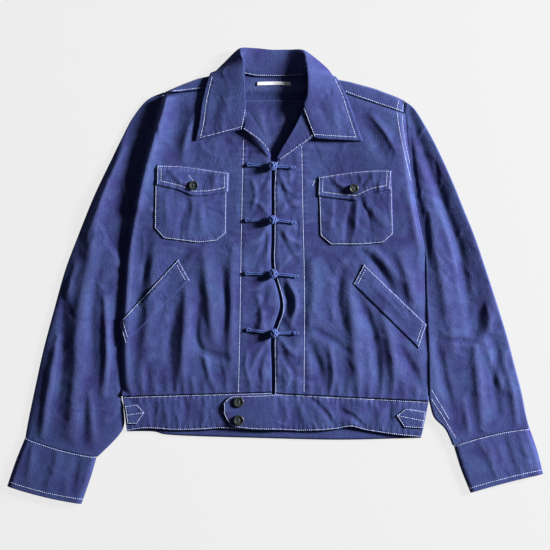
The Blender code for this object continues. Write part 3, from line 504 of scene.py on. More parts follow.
class JacketSizes(bpy.types.PropertyGroup):
    """Sizes that drive the looks."""
    cloth_wall: length_property("Cloth", "Wall of a single panel", 0.0012)
    band_wall: length_property("Doubled cloth", "Wall of collar, cuffs and waistband", 0.0016)
    patch_wall: length_property("Patch", "Wall of pockets, flaps, welts and tabs", 0.0006)
    panel_cell: length_property("Panel cell", "Grid of the large panels", 0.0024)
    trim_cell: length_property("Trim cell", "Grid of the collar, bands, pockets and flaps", 0.0016)
    stitch_pitch: length_property("Stitch pitch", "Distance from stitch to stitch", 0.0033)
    stitch_length: length_property("Stitch length", "Length of one stitch on the face", 0.0030)
    thread_width: length_property("Thread", "Width of the sewing thread", 0.0011)
    cord_radius: length_property("Cord", "Radius of the frog cord", 0.0013)


class JacketColours(bpy.types.PropertyGroup):
    """Colours of the jacket and its stage."""
    indigo: colour_property("Indigo", "Cotton in the flat", "#374577")
    # troughs keep the darker dye and ridges take the faded colour: partly real wear, partly painted shade
    # in troughs and painted highlight on ridges
    deep: colour_property("Deep indigo", "Cotton in troughs and less worn places", "#2F3066")
    faded: colour_property("Faded indigo", "Cotton on ridges and worn edges", "#626EA6")
    thread: colour_property("Thread", "Pale sewing thread", "#C4CEEE")
    cord: colour_property("Cord", "Frog cord", "#3A4E8C")
    button: colour_property("Button", "Dark horn of the buttons", "#2C3230")
    tape: colour_property("Tape", "Label tape", "#F2F2F6")
    button_thread: colour_property("Button thread", "Dull thread through the buttons", "#596070")
    floor: colour_property("Floor", "Pale surface under the jacket", "#EDEDED")
    room: colour_property("Room", "Cool light from all round", "#F3F7FF")


def sizes():
    """Sizes in use."""
    return bpy.context.scene.jacket_sizes


def colours():
    """Colours in use."""
    return bpy.context.scene.jacket_colours


def spline(rows, t):
    """Columns of the smooth curve through a table's rows at every t of an array, t from 0 to 1."""
    table = np.asarray(rows, float)
    last = len(table) - 1
    place = np.clip(t, 0.0, 1.0) * last
    i = np.minimum(place.astype(int), last - 1)
    f = (place - i)[..., None]
    a, b, c, d = (table[np.clip(i + k, 0, last)] for k in (-1, 0, 1, 2))
    made = b + 0.5 * f * (c - a + f * (2 * a - 5 * b + 4 * c - d + f * (3 * (b - c) + d - a)))
    return np.moveaxis(made, -1, 0)


# single rows of stitching that don't follow a piece's own edge, by the piece they are sewn through
STITCH_LINES = {
    "front_left": (FRONT_SEWN["left"][0],),
    "front_right": (
        FRONT_SEWN["right"][0],
        [(x + 2.0, y) for _, x, y in spline(FRONT_ROWS["right"], np.linspace(0.43, 1, 60)).T],
        ((194.9, 258.6), (197.4, 238.4), (203.8, 206.4), (211.2, 174.4), (216.8, 152)),
        ((203.5, 255.4), (204.2, 238.4), (209, 206.4), (215, 180.8)),
        ((60.2, 144), (63, 150.4), (68.2, 155.2)),
    ),
    "tab_left": (((-236, -224), (-212, -220.4)),),
    "tab_right": (((198, -225.4), (236, -233)),),
    "flap_left": (((-136.6, 157.8), (-133.8, 153.6), (-128.6, 149.8)),),
    "sleeve_right": (
        ((251.2, -185.6), (264, -206.4), (276.8, -228.8)),
        ((251.2, -200), (268.8, -227.2), (288, -259.2)),
    ),
    "collar": (
        ((-48, 262.4), (-53.8, 233.6)), ((46.7, 264), (63, 222.4)),
        ((-47, 322.8), (-30, 319.7), (-5, 319.2), (21, 319.4), (42, 320.8)),
    ),
    "yoke": (
        ((-161.6, 293.8), (-145.6, 296.2), (-118.4, 299.5)),
        ((113.6, 293.8), (136, 285.1), (168, 274.1), (203.2, 262.4)),
        ((197.8, 278.4), (195.5, 270.4), (194.9, 261.4)),
        ((205.8, 275.2), (203.8, 267.2), (203.5, 258.2)),
    ),
}
# how far a row of stitching lies in from a piece's edges, and which edges it follows
EDGE_STITCHES = {
    "pocket": ((1.8, ("start", "low", "end")),),
    "flap": ((2.4, ("start", "top", "end")), (7.6, ("start", "low", "end"))),
    "welt": ((1.8, ("start", "top", "end")), (6.6, ("start", "end"))),
    "tab": ((1.8, ("start", "top", "end", "low")),),
}


def along(table, value):
    """Straight interpolation in a two column table."""
    pairs = np.array(sorted(table), float)
    return np.interp(value, pairs[:, 0], pairs[:, 1])


def soft(low, high, value):
    """Soft step from 0 at low to 1 at high."""
    t = np.clip((np.asarray(value, float) - low) / (high - low), 0.0, 1.0)
    return t * t * (3 - 2 * t)


def ripple(x, y, size, seed):
    """Smooth random field between -1 and 1 with lumps of about the given size."""
    lattice = np.random.default_rng(seed).uniform(-1, 1, (LATTICE, LATTICE))
    at_x, at_y = np.asarray(x, float) / size, np.asarray(y, float) / size
    i, j = np.floor(at_x).astype(int), np.floor(at_y).astype(int)
    f, g = at_x - i, at_y - j
    f, g = f * f * (3 - 2 * f), g * g * (3 - 2 * g)
    corner = [lattice[(i + a) % LATTICE, (j + b) % LATTICE] for a in (0, 1) for b in (0, 1)]
    low = corner[0] * (1 - g) + corner[1] * g
    high = corner[2] * (1 - g) + corner[3] * g
    return low * (1 - f) + high * f


def crumple(x, y, seed):
    """Small uneven waves of worn cloth, in millimetres: lumps of 42, 19 and 8 mm."""
    turned, across = 0.8 * x + 0.6 * y, 0.8 * y - 0.6 * x
    broad = ripple(turned, across * 0.8, 42, seed) * 0.75
    middle = ripple(x, y, 19, seed + 1) * 0.35
    small = ripple(turned, across, 8, seed + 2) * 0.12
    return broad + middle + small


def nearest(points, x, y):
    """Distance to a line through some points, which side of it, and the run along it."""
    near = np.full(x.shape, 1e9)
    side = np.zeros(x.shape)
    run = np.zeros(x.shape)
    so_far = 0.0
    for (ax, ay), (bx, by) in zip(points[:-1], points[1:]):
        length = math.dist((ax, ay), (bx, by))
        ux, uy = (bx - ax) / length, (by - ay) / length
        t = np.clip((x - ax) * ux + (y - ay) * uy, 0, length)
        dx, dy = x - ax - t * ux, y - ay - t * uy
        far = np.hypot(dx, dy)
        closer = far < near
        near = np.where(closer, far, near)
        side = np.where(closer, ux * dy - uy * dx, side)
        run = np.where(closer, so_far + t, run)
        so_far += length
    return near, side, run, so_far


def smooth_line(points):
    """Denser points on the smooth curve through some points."""
    return spline(points, np.linspace(0, 1, LINE_STEPS * (len(points) - 1) + 1)).T


def folds(table, x, y):
    """Height that all folds of a table add."""
    height = np.zeros(x.shape)
    for half_width, lift, lean, *points in table:
        line = smooth_line(points)
        reach = 2.6 * half_width * (1 + lean)
        (low_x, low_y), (high_x, high_y) = line.min(0) - reach, line.max(0) + reach
        here = (x > low_x) & (x < high_x) & (y > low_y) & (y < high_y)
        near, side, run, whole = nearest(line, x[here], y[here])
        width = half_width * (1 + lean * np.tanh(side / (0.4 * half_width)))
        ends = np.sin(np.pi * (0.08 + 0.84 * run / whole)) ** 0.6
        height[here] += lift * ends * np.exp(-(near / width) ** 2)
    return height


def small_creases(field, seed):
    """Uneven short creases of one field."""
    low_x, low_y, high_x, high_y, count, heading, spread, height = field
    chance = np.random.default_rng(seed)
    made = []
    for _ in range(count):
        x, y = chance.uniform(low_x, high_x), chance.uniform(low_y, high_y)
        angle = math.radians(chance.normal(heading, spread))
        bent = angle + math.radians(chance.normal(0, CREASE_BEND))
        half = 0.5 * (CREASE_LENGTH[0] + CREASE_LENGTH[1] * chance.random() ** 1.6)
        middle = (x + half * math.cos(angle), y + half * math.sin(angle))
        end = (middle[0] + half * math.cos(bent), middle[1] + half * math.sin(bent))
        lift = height * (0.35 + 0.65 * chance.random()) * chance.choice((-1, 1))
        half_width = CREASE_WIDTH[0] + CREASE_WIDTH[1] * chance.random()
        made.append((half_width, lift, 0.0, (x, y), middle, end))
    return made


def all_folds(name, table, x, y):
    """Folds of a piece together with its fields of small creases."""
    height = folds(table, x, y)
    for number, field in enumerate(CREASE_FIELDS.get(name, ())):
        height += folds(small_creases(field, 7 * number + len(name) + sum(map(ord, name))), x, y)
    return height


def sewn(kind, lines, x, y):
    """Pull of rows of stitches: a shallow groove with small puckers across it."""
    groove, pucker, wave, reach, seed = PULL[kind]
    height = np.zeros(x.shape)
    for points in lines:
        near, _, run, _ = nearest(points, x, y)
        phase = 2 * np.pi * run / wave + 2.4 * ripple(run, near * 0.2, 2.2 * wave, seed)
        puckers = pucker * np.sin(phase) * np.exp(-near / reach)
        height += puckers - groove * np.exp(-(near / GROOVE_WIDTH) ** 2)
    return height


def side_x(side, y):
    """x of the body's edge at a height y: the armhole above the armpit, the side seam below it."""
    hole = ARMHOLE[side]
    (top_x, top_y), (low_x, low_y) = hole["shoulder"], hole["armpit"]
    s = (top_y - y) / (top_y - low_y)
    armhole = top_x + (low_x - top_x) * s + 4 * s * (1 - s) * hole["bow"]
    return np.where(y < low_y, along(SIDE_SEAM[side], y), armhole)


def grid(columns, rows):
    """Shares u across and v along of a grid's points."""
    return np.meshgrid(np.linspace(0, 1, columns + 1), np.linspace(0, 1, rows + 1))


def blurred(values, reach):
    """Values of a grid averaged over a few cells each way."""
    for axis in (0, 1):
        padded = np.pad(values, [(reach, reach) if k == axis else (0, 0) for k in (0, 1)], mode="edge")
        total = np.cumsum(np.insert(padded, 0, 0, axis=axis), axis=axis)
        span = 2 * reach + 1
        count = values.shape[axis]
        high = np.take(total, np.arange(span, span + count), axis=axis)
        values = (high - np.take(total, np.arange(count), axis=axis)) / span
    return values


def join_up(obj, node):
    """Let a piece ride with the jacket and stand for its solid."""
    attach(obj, "root")
    if node:
        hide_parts(node)
    return obj


def cloth(name, points, wall, finish, keep=None):
    """Cloth piece: a grid of points in millimetres given a wall on its lower side."""
    rows, columns = points.shape[:2]
    index = np.arange(rows * columns).reshape(rows, columns)
    quads = np.stack((index[:-1, :-1], index[:-1, 1:], index[1:, 1:], index[1:, :-1]), -1)
    quads = quads[keep] if keep is not None else quads.reshape(-1, 4)
    mesh = bpy.data.meshes.new(name)
    mesh.from_pydata((points.reshape(-1, 3) * MM).tolist(), [], quads.tolist())
    # ridges get a higher value and troughs a lower one: partly real wear of the indigo, partly painted
    # highlight on ridges and painted shade in troughs
    relief = np.clip(points[..., 2] - blurred(points[..., 2], WEAR_AND_SHADE_CELLS), -1.2, 0.7)
    wear = mesh.attributes.new("wear", "FLOAT", "POINT")
    wear.data.foreach_set("value", np.clip(0.4 + 0.35 * relief, 0, 1).astype(np.float32).ravel())
    bm = bmesh.new()
    bm.from_mesh(mesh)
    bmesh.ops.delete(bm, geom=[v for v in bm.verts if not v.link_faces], context="VERTS")
    bmesh.ops.remove_doubles(bm, verts=bm.verts[:], dist=0.02 * MM)
    bm.normal_update()
    highest = max(bm.faces, key=lambda face: face.calc_center_median().z)
    if highest.normal.z < 0:
        bmesh.ops.reverse_faces(bm, faces=bm.faces[:])
    bm.to_mesh(mesh)
    bm.free()
    obj = placed(name, mesh)
    shell = obj.modifiers.new("cloth wall", "SOLIDIFY")
    shell.thickness = wall
    shell.offset = -1
    settle(obj)
    obj.data.materials.append(finish)
    obj.data.polygons.foreach_set("use_smooth", [True] * len(obj.data.polygons))
    return obj


def placed(name, data):
    """Object put into the scene."""
    obj = bpy.data.objects.new(name, data)
    bpy.context.scene.collection.objects.link(obj)
    return obj


def cut_out(node, points, wall, keep=None):
    """Cotton piece that stands for the solid of the same name."""
    return join_up(cloth("cloth_" + node, points, wall, cotton(), keep), node)


def settle(obj):
    """Turn a piece with modifiers into a plain mesh."""
    graph = bpy.context.evaluated_depsgraph_get()
    made = bpy.data.meshes.new_from_object(obj.evaluated_get(graph))
    old = obj.data
    obj.modifiers.clear()
    obj.data = made
    bpy.data.meshes.remove(old)
    made.name = obj.name


def add(tree, kind, settings=None, inputs=None):
    """Add a node with its settings, input values and links."""
    made = tree.nodes.new(kind)
    made.location = (180 * len(tree.nodes), 0)
    for key, value in (settings or {}).items():
        setattr(made, key, value)
    for key, value in (inputs or {}).items():
        if isinstance(value, bpy.types.NodeSocket):
            tree.links.new(value, made.inputs[key])
        else:
            made.inputs[key].default_value = value
    return made


def new_material(name):
    """New node material, its tree and its shader."""
    made = bpy.data.materials.new(name)
    made.use_nodes = True
    return made, made.node_tree, made.node_tree.nodes["Principled BSDF"]


def noise(tree, place, scale, detail, **more):
    """Noise with lumps of a metre divided by the scale."""
    inputs = {"Vector": place, "Scale": scale, "Detail": detail, **more}
    return add(tree, "ShaderNodeTexNoise", None, inputs).outputs["Fac"]


def ranged(tree, value, low, high, to_low=0.0, to_high=1.0):
    """Value stretched from one range to another."""
    inputs = dict(enumerate((value, low, high, to_low, to_high)))
    return add(tree, "ShaderNodeMapRange", None, inputs).outputs[0]


def maths(tree, operation, *values):
    """Sum, difference or the like of values."""
    return add(tree, "ShaderNodeMath", {"operation": operation}, dict(enumerate(values))).outputs[0]


def blended(tree, share, first, second):
    """Two colours mixed."""
    return add(tree, "ShaderNodeMix", {"data_type": "RGBA"}, {0: share, 6: first, 7: second}).outputs[2]


def scaled(tree, vector, amount):
    """Colour or vector times an amount."""
    return add(tree, "ShaderNodeVectorMath", {"operation": "SCALE"}, {0: vector, 3: amount}).outputs[0]


def yarns(tree, place, scale):
    """Streaks along one way of the weave."""
    streaks = add(tree, "ShaderNodeMapping", None, {"Vector": place, "Scale": scale})
    return noise(tree, streaks.outputs[0], 1.0, 2.0)


def cotton():
    """Faded indigo cotton twill: cloudy dye, pale flecks of warp, lighter on ridges and darker in troughs
    from wear and from painted highlight and shade, a soft nap.
    """
    if "faded indigo twill" in bpy.data.materials:
        return bpy.data.materials["faded indigo twill"]
    made, tree, shader = new_material("faded indigo twill")
    indigo, deep, faded = (tuple(c) for c in (colours().indigo, colours().deep, colours().faded))
    place = add(tree, "ShaderNodeTexCoord").outputs["Object"]
    # clouds of dye are 45 mm across
    cloud = ranged(tree, noise(tree, place, 22.0, 5.0, Roughness=0.62), 0.36, 0.64)
    # yarns are 0.5 mm, drawn at 1.1 mm and in streaks of 7 mm so that they show
    warp = yarns(tree, place, (900.0, 130.0, 130.0))
    weft = yarns(tree, place, (150.0, 900.0, 150.0))
    fleck = ranged(tree, maths(tree, "ADD", warp, weft), 0.75, 1.25)
    # sharp fine creases every 16 mm, in patches of 77 mm
    rumple = noise(tree, place, 62.0, 3.0, Roughness=0.5, Distortion=0.5)
    sharp = maths(tree, "ABSOLUTE", maths(tree, "SUBTRACT", rumple, 0.5))
    share = ranged(tree, noise(tree, place, 13.0, 2.0), 0.45, 0.7, 0.12, 1.0)
    crease = maths(tree, "MULTIPLY", sharp, share)
    wear = add(tree, "ShaderNodeAttribute", {"attribute_name": "wear"}).outputs["Fac"]
    dye = blended(tree, cloud, deep, indigo)
    # ridges are mixed toward the faded colour, partly real wear and partly a painted highlight; troughs
    # keep the darker dye as painted shade
    worn = blended(tree, ranged(tree, wear, 0.35, 1.0, 0.0, 0.55), dye, faded)
    toned = scaled(tree, worn, ranged(tree, fleck, 0.0, 1.0, 0.86, 1.14))
    tree.links.new(toned, shader.inputs["Base Color"])
    creased = add(tree, "ShaderNodeBump", None, {"Strength": 0.3, "Distance": 0.006, "Height": crease})
    woven = add(tree, "ShaderNodeBump", None,
                {"Strength": 0.5, "Distance": 0.0004, "Height": fleck, "Normal": creased.outputs[0]})
    tree.links.new(woven.outputs[0], shader.inputs["Normal"])
    nap = {"Roughness": 0.92, "Specular IOR Level": 0.2, "Sheen Weight": 0.12, "Sheen Roughness": 0.5,
           "Sheen Tint": faded}
    for key, value in nap.items():
        shader.inputs[key].default_value = value
    return made


# small trimmings: colour, roughness, grains to the metre, how uneven they are, their depth
TRIM_FINISHES = {
    "pale sewing thread": ("thread", 0.8, 700.0, 0.12, 0.0001),           # pale and matt
    "grey button thread": ("button_thread", 0.85, 700.0, 0.12, 0.0001),   # dull grey-blue
    "blue twisted cord": ("cord", 0.7, 900.0, 0.25, 0.0003),              # blue with a soft sheen
    "dark horn": ("button", 0.28, 260.0, 0.35, 0.0001),                   # polished, cloudy, greenish
    "white woven tape": ("tape", 0.9, 1100.0, 0.1, 0.0002),               # plain white
}


def trim_finish(name):
    """Material of a small trimming: one colour with fine uneven grain."""
    if name in bpy.data.materials:
        return bpy.data.materials[name]
    colour, roughness, scale, uneven, depth = TRIM_FINISHES[name]
    made, tree, shader = new_material(name)
    place = add(tree, "ShaderNodeTexCoord").outputs["Object"]
    grain = noise(tree, place, scale, 3.0)
    tone = ranged(tree, grain, 0.3, 0.7, 1.0 - uneven, 1.0 + uneven)
    toned = scaled(tree, tuple(getattr(colours(), colour))[:3], tone)
    tree.links.new(toned, shader.inputs["Base Color"])
    relief = add(tree, "ShaderNodeBump", None, {"Strength": 0.5, "Distance": depth, "Height": grain})
    tree.links.new(relief.outputs[0], shader.inputs["Normal"])
    shader.inputs["Roughness"].default_value = roughness
    return made


def finder(name):
    """Search tree of a finished piece."""
    mesh = bpy.data.objects[name].data
    return BVHTree.FromPolygons([v.co for v in mesh.vertices], [p.vertices for p in mesh.polygons])


def drop(trees, x, y, missing=None):
    """Height of the highest of some pieces at a point, in millimetres."""
    start = Vector((x * MM, y * MM, 0.1))
    hits = [tree.ray_cast(start, Vector((0, 0, -1)))[0] for tree in trees]
    heights = [hit.z / MM for hit in hits if hit]
    return max(heights) if heights else missing


def widened(values):
    """Each value of a grid replaced by the highest of itself and its neighbours."""
    padded = np.pad(values, 1, mode="edge")
    rows, columns = values.shape
    return np.max([padded[i:i + rows, j:j + columns] for i in range(3) for j in range(3)], 0)


def rest_height(trees, x, y, reach):
    """Highest point of some pieces within reach of a point, in millimetres."""
    near = (-reach, 0, reach)
    return max(drop(trees, x + dx, y + dy, 0) for dx in near for dy in near)


def drop_grid(trees, x, y):
    """Heights under a grid of points; a point off the pieces takes the last height found."""
    height = np.empty(x.shape)
    last = BODY_TOP
    for place in np.ndindex(x.shape):
        found = drop(trees, x[place], y[place])
        last = last if found is None else found
        height[place] = last
    return height


def front_points(side):
    """Upper surface of a front panel."""
    node = "front_" + side
    cell = sizes().panel_cell / MM
    u, v = grid(round(FRONT_SIZE[0] / cell), round(FRONT_SIZE[1] / cell))
    side_y, centre_x, centre_y = spline(FRONT_ROWS[side], v)
    armpit = ARMHOLE[side]["armpit"][1]
    hangs = 1 - soft(armpit - 30, armpit + 30, side_y)
    # drawn in a hair beside the sleeve, more at the shoulder point, and let out below the armpit
    edge = side_x(side, side_y) + OUTWARD[side] * (0.25 * hangs - 0.15 - 0.4 * soft(276, 288, side_y))
    x = edge + (centre_x - edge) * u
    y = side_y + (centre_y - side_y) * u
    from_side = np.abs(x - edge)
    from_centre = np.abs(centre_x - x)
    # turned down over 7 mm at the side and 3 mm at the centre edge
    drop_side = 0.9 + SIDE_DROP[side] * hangs
    z = BODY_TOP - drop_side * np.exp(-(from_side / 7) ** 2) - 1.3 * np.exp(-(from_centre / 3) ** 2)
    fade = soft(-3, 9 - 5 * hangs, from_side) * soft(-0.01, 0.04, v) * (1 - 0.7 * soft(0.94, 1.0, v))
    z = z + (all_folds(node, FRONT_FOLDS[side], x, y) + crumple(x, y, SEEDS[node])) * fade
    placket, waist, *centre = FRONT_SEWN[side]
    z = z + sewn("placket", [placket], x, y) + sewn("waist seam", [waist], x, y)
    z = z + sewn("front edge", centre, x, y)
    # its ends are kept up, over the waistband's edge at the bottom and beside the yoke's at the top
    low = FRONT_LOW + 3.4 * soft(0.972, 0.988, v) + 2.6 * (1 - soft(0.02, 0.06, v))
    return np.stack((x, y, np.maximum(z, low)), -1)


def tube_points(node, rows, table, top, cell, length, crumpled):
    """Sleeve or cuff: a sheet folded at its outer edge and closed where it is sewn under the arm."""
    kind, side = node.split("_")
    outward = OUTWARD[side]
    turn = np.linspace(0, np.pi, round(TUBE_WIDTH / cell) + 1)
    share_top = 0.5 + 0.5 * np.cos(turn) * (0.55 + 0.45 * np.abs(np.cos(turn)))
    share_row = np.concatenate((share_top, LOWER_LAYER))
    share, v = np.meshgrid(share_row, np.linspace(0, 1, round(length / cell) + 1))
    upper = np.broadcast_to(np.arange(len(share_row)) < len(share_top), share.shape)
    out_x, out_y, in_x, in_y, bow_y, is_sewn = spline(rows, v)
    if kind == "sleeve":
        # it keeps clear of the body's edge, and is drawn in closer beside the waistband
        beside = soft(-212, -196, in_y)
        clear = 0.15 + 0.1 * soft(240, 270, in_y)
        in_x = (side_x(side, in_y) + clear * outward) * beside + (in_x - 1.6 * outward) * (1 - beside)
    x = out_x + (in_x - out_x) * share
    y = out_y + (in_y - out_y) * share + 4 * share * (1 - share) * bow_y
    closed = soft(0.3, 0.7, is_sewn)
    # the lower layer ends a little short of the armhole
    x = x - 0.65 * outward * (1 - closed) * (~upper & ((share >= 1.0) | (v == 0))) * share ** 2
    width = np.hypot(in_x - out_x, in_y - out_y)
    from_out = share * width
    from_in = (1 - share) * width
    low, near_reach, open_reach, out_reach, calm = TUCK.get(node, CUFF_TUCK)
    edge_out = np.sqrt(1 - (1 - np.clip(from_out / min(9, out_reach), 0, 1)) ** 2)
    edge_out = 0.4 * edge_out + 0.6 * np.sin(np.pi / 2 * np.clip(from_out / out_reach, 0, 1))
    edge_in = np.sqrt(1 - (1 - np.clip(from_in / near_reach, 0, 1)) ** 2)
    edge_in = edge_in * closed + (low + (1 - low) * soft(0, open_reach, from_in)) * (1 - closed)
    level = TIP + (top - TIP) * edge_out * edge_in
    if node == "sleeve_left":
        # its head sinks into the valley beside the shoulder
        head = 1 - soft(0.10, 0.30, v)
        level = level * (1 - head) + (TIP + 1.8 * np.clip(from_out / width, 0, 1)) * head
    fade = soft(0.0, calm, from_out) * soft(0.0, 14, from_in)
    fade = fade * soft(0.0, 0.06, v) * (1 - soft(0.95, 1.0, v))
    bumps = (all_folds(node, table, x, y) + crumpled * crumple(x, y, SEEDS[node])) * fade
    z_top = np.maximum(level + bumps, TIP + 1.0 * edge_out * edge_in)
    z_low = np.where(share >= 1.0, TIP * closed, 0.0)
    return np.stack((x, y, np.where(upper, z_top, z_low)), -1)


def neck_lift(x, y):
    """Height that the collar beneath it lifts the yoke."""
    return NECK_LIFT * (1 - soft(112, 132, np.abs(x))) * soft(286, 300, y)


def yoke_points():
    """Yoke from its back seam over the shoulder fold to its front seam, and which cells are cloth."""
    cell = sizes().panel_cell / MM
    left = np.arange(YOKE_ENDS[0], NECK_LEFT, cell * 1.3)
    middle = np.linspace(NECK_LEFT, NECK_RIGHT, YOKE_COLUMNS)
    right = np.linspace(NECK_RIGHT, YOKE_ENDS[1], YOKE_COLUMNS)[1:]
    columns = np.concatenate((left, middle, right))
    behind, round_fold, before = YOKE_STEPS
    x, row = np.meshgrid(columns, np.arange(sum(YOKE_STEPS) + 1))
    low = neck_lift(x, 320)
    radius = (SHOULDER_TOP - low) / 2
    fold_y = along(SHOULDER, x) - radius
    neck = (x >= NECK_LEFT) & (x <= NECK_RIGHT)
    back_y = along(BACK_SEAM, x)
    first = np.clip(row / behind, 0, 1)
    second = np.clip((row - behind) / round_fold, 0, 1)
    third = np.clip((row - behind - round_fold) / before, 0, 1)
    y_back = back_y + (np.where(neck, NECK_Y, fold_y) - back_y) * first
    turn = np.pi * (second - 0.5)
    y_fold = fold_y + radius * np.cos(turn)
    z_fold = low + radius * (1 + np.sin(turn))
    y_front = fold_y + (along(YOKE_SEAM, x) + 0.4 - fold_y) * third
    y = np.where(row <= behind, y_back, np.where(third > 0, y_front, y_fold))
    z = np.where(row <= behind, neck_lift(x, y_back), np.where(third > 0, SHOULDER_TOP, z_fold))
    inset = np.where(row <= behind, 0.75, 0.2)
    x = np.where(x == columns[0], side_x("left", y) + inset, x)
    x = np.where(x == columns[-1], side_x("right", y) - inset, x)
    z = z + np.where(third > 0, 0.7 * crumple(x, y, SEEDS["yoke"]) * soft(0, 0.4, third), 0)
    # a ridge 12 mm in from the left armhole, and a dip at either armhole
    from_left, from_right = x - side_x("left", y), side_x("right", y) - x
    ridge = 9.0 * np.exp(-((from_left - 12) / 9) ** 2) * (0.2 + 0.8 * soft(0, 0.75, third))
    ridge = ridge - 2.0 * np.exp(-(from_left / 5) ** 2)
    z = z + np.where(row > behind, second * (ridge - 2.6 * np.exp(-(from_right / 6) ** 2)), 0)
    centre_x = (x[:-1, :-1] + x[1:, 1:]) / 2
    centre_row = row[:-1, :-1] + 0.5
    keep = ~((centre_x > NECK_LEFT) & (centre_x < NECK_RIGHT) & (centre_row > behind))
    return np.stack((x, y, z), -1), keep


def collar_place(u, v):
    """Points of the collar: u from the neck seam over the roll to the free edge, v from its left end."""
    flat_rows = [[value for point in row for value in point] for row in COLLAR_ROWS]
    values = spline(flat_rows, v)
    seam, roll, turn, edge = (np.moveaxis(values[k:k + 3], 0, -1) for k in (0, 3, 6, 9))
    peak = (2 * roll - 0.5 * seam - 0.25 * turn) / 1.25
    middle = (peak + turn) / 2
    first = (u <= 0.5)[..., None]
    t = np.where(u <= 0.5, 2 * u, 2 * u - 1)[..., None]
    start = np.where(first, seam, middle)
    pull = np.where(first, peak, turn)
    end = np.where(first, middle, edge)
    return start * (1 - t) ** 2 + pull * (2 * t * (1 - t)) + end * t * t


def collar_points():
    """Collar with the small waves of its stitched edges."""
    cell = sizes().trim_cell / MM
    u, v = grid(round(COLLAR_SIZE[0] / cell), round(COLLAR_SIZE[1] / cell))
    made = collar_place(u, v)
    x, y = made[..., 0], made[..., 1]
    leaf = soft(0.5, 0.7, u) * (1 - soft(0.26, 0.32, v) * (1 - soft(0.68, 0.74, v)))
    lines = [[tuple(point[:2]) for point in collar_stitch_path(side)[::3]] for side in SIDES]
    waves = sewn("collar", lines, x, y) + 0.5 * crumple(x, y, SEEDS["collar"])
    waves = waves + all_folds("collar", COLLAR_FOLDS, x, y)
    made[..., 2] += waves * np.maximum(leaf, 0.35 * soft(0.08, 0.2, u))
    return made


def collar_stitch_path(side):
    """Row of stitching round a collar leaf, in from its lower and outer edges."""
    start, stop = COLLAR_STITCHED[side]
    low = [(u, start) for u in np.linspace(0.3, COLLAR_INSET, 34)]
    out = [(COLLAR_INSET, v) for v in np.linspace(start, stop, 50)]
    u, v = np.array(low + out).T
    return collar_place(u, v)


def facing_points(side):
    """Lapel turned out over the front."""
    u, v = grid(18, 50)
    values = spline(FACING_ROWS[side], v)
    roll, edge = np.moveaxis(values[:3], 0, -1), np.moveaxis(values[3:], 0, -1)
    made = roll + (edge - roll) * u[..., None]
    made[..., 2] += 0.5 * crumple(made[..., 0], made[..., 1], SEEDS["facing"]) * soft(0, 0.3, u)
    made[..., 2] += 0.35 * np.sin(2 * np.pi * v * 9) * soft(0.6, 1, u)
    return made


def lengths(points):
    """Run along a row of points, from 0 at the first."""
    return np.concatenate(([0], np.cumsum(np.linalg.norm(np.diff(points, axis=0), axis=1))))


def strip_points(rows, cell):
    """Grid across a strip given by rows of its two edges, evenly spaced along it."""
    table = np.array(rows, float)
    run = lengths((table[:, 0:2] + table[:, 2:4]) / 2)
    deepest = np.linalg.norm(table[:, 0:2] - table[:, 2:4], axis=1).max()
    u, v = grid(max(round(run[-1] / cell), 4), max(round(deepest / cell), 4))
    columns = [np.interp(u * run[-1], run, table[:, k]) for k in range(table.shape[1])]
    x = columns[0] + (columns[2] - columns[0]) * v
    y = columns[1] + (columns[3] - columns[1]) * v
    depth = np.hypot(columns[0] - columns[2], columns[1] - columns[3])
    return x, y, u, v, depth, columns


def band_points(side):
    """Waistband piece."""
    cell = sizes().trim_cell / MM
    wall = sizes().band_wall / MM
    dense = spline(BAND_ROWS[side], np.linspace(0, 1, 8 * len(BAND_ROWS[side]))).T
    if side == "back":
        x, y, _, v, depth, _ = strip_points(dense, BACK_CELLS * cell)
        from_edge = np.minimum(v, 1 - v) * depth
        z = wall + 0.25 * crumple(x, y, SEEDS["waistband_back"]) * soft(0, 4, from_edge)
        return np.stack((x, y, np.maximum(z, wall)), -1)
    x, y, _, v, depth, columns = strip_points(dense, cell)
    from_edge = np.minimum(v, 1 - v) * depth
    lift = columns[4]
    crown = 1.2 * 4 * v * (1 - v)
    # the right piece's tab laps over the left piece, which lies calm beneath it
    over = 1 - soft(-4, 8, x) if side == "right" else np.zeros(x.shape)
    under = soft(-96, -84, x) if side == "left" else np.zeros(x.shape)
    y = y + 2.0 * (1 - v) ** 8 * (soft(3, 11, x) if side == "right" else 1)
    bumps = all_folds("waistband_" + side, BAND_FOLDS[side], x, y)
    bumps = bumps + 0.5 * crumple(x, y, SEEDS["waistband"])
    bumps = (1 - 0.8 * over) * (1 - 0.85 * under) * bumps * soft(0, 7, from_edge)
    pull = sewn("waistband", band_lines(side), x, y) * (1 - 0.6 * over) * (1 - under)
    z = BAND_LOW + wall + 0.3 + lift + crown + bumps + pull
    z = np.maximum(z, BAND_LOW + wall + lift * (0.6 + 0.4 * over) + over * (0.1 + crown))
    # its top edge goes in under the front panel
    from_top = v * depth
    under_front = BAND_LOW + wall + 0.2 + 0.1 * from_top + 4 * np.maximum(from_top - 2.6, 0) + 9 * over
    return np.stack((x, y, np.minimum(z, under_front)), -1)


def band_lines(side):
    """Rows of stitching along a front waistband piece."""
    top, low = [], []
    for top_x, top_y, low_x, low_y, _ in spline(BAND_ROWS[side], np.linspace(0, 1, 60)).T:
        depth = math.dist((top_x, top_y), (low_x, low_y))
        share = min(BAND_INSET / depth, 0.3)
        top.append((top_x + (low_x - top_x) * share, top_y + (low_y - top_y) * share))
        low.append((low_x + (top_x - low_x) * share, low_y + (top_y - low_y) * share))
    if side == "left":
        return [top, low]
    # on the right one row runs round the end of the tab
    top[0] = (top[0][0] + 1.5, top[0][1])
    low[0] = (low[0][0] + 1.5, low[0][1])
    return [top[::-1] + low]


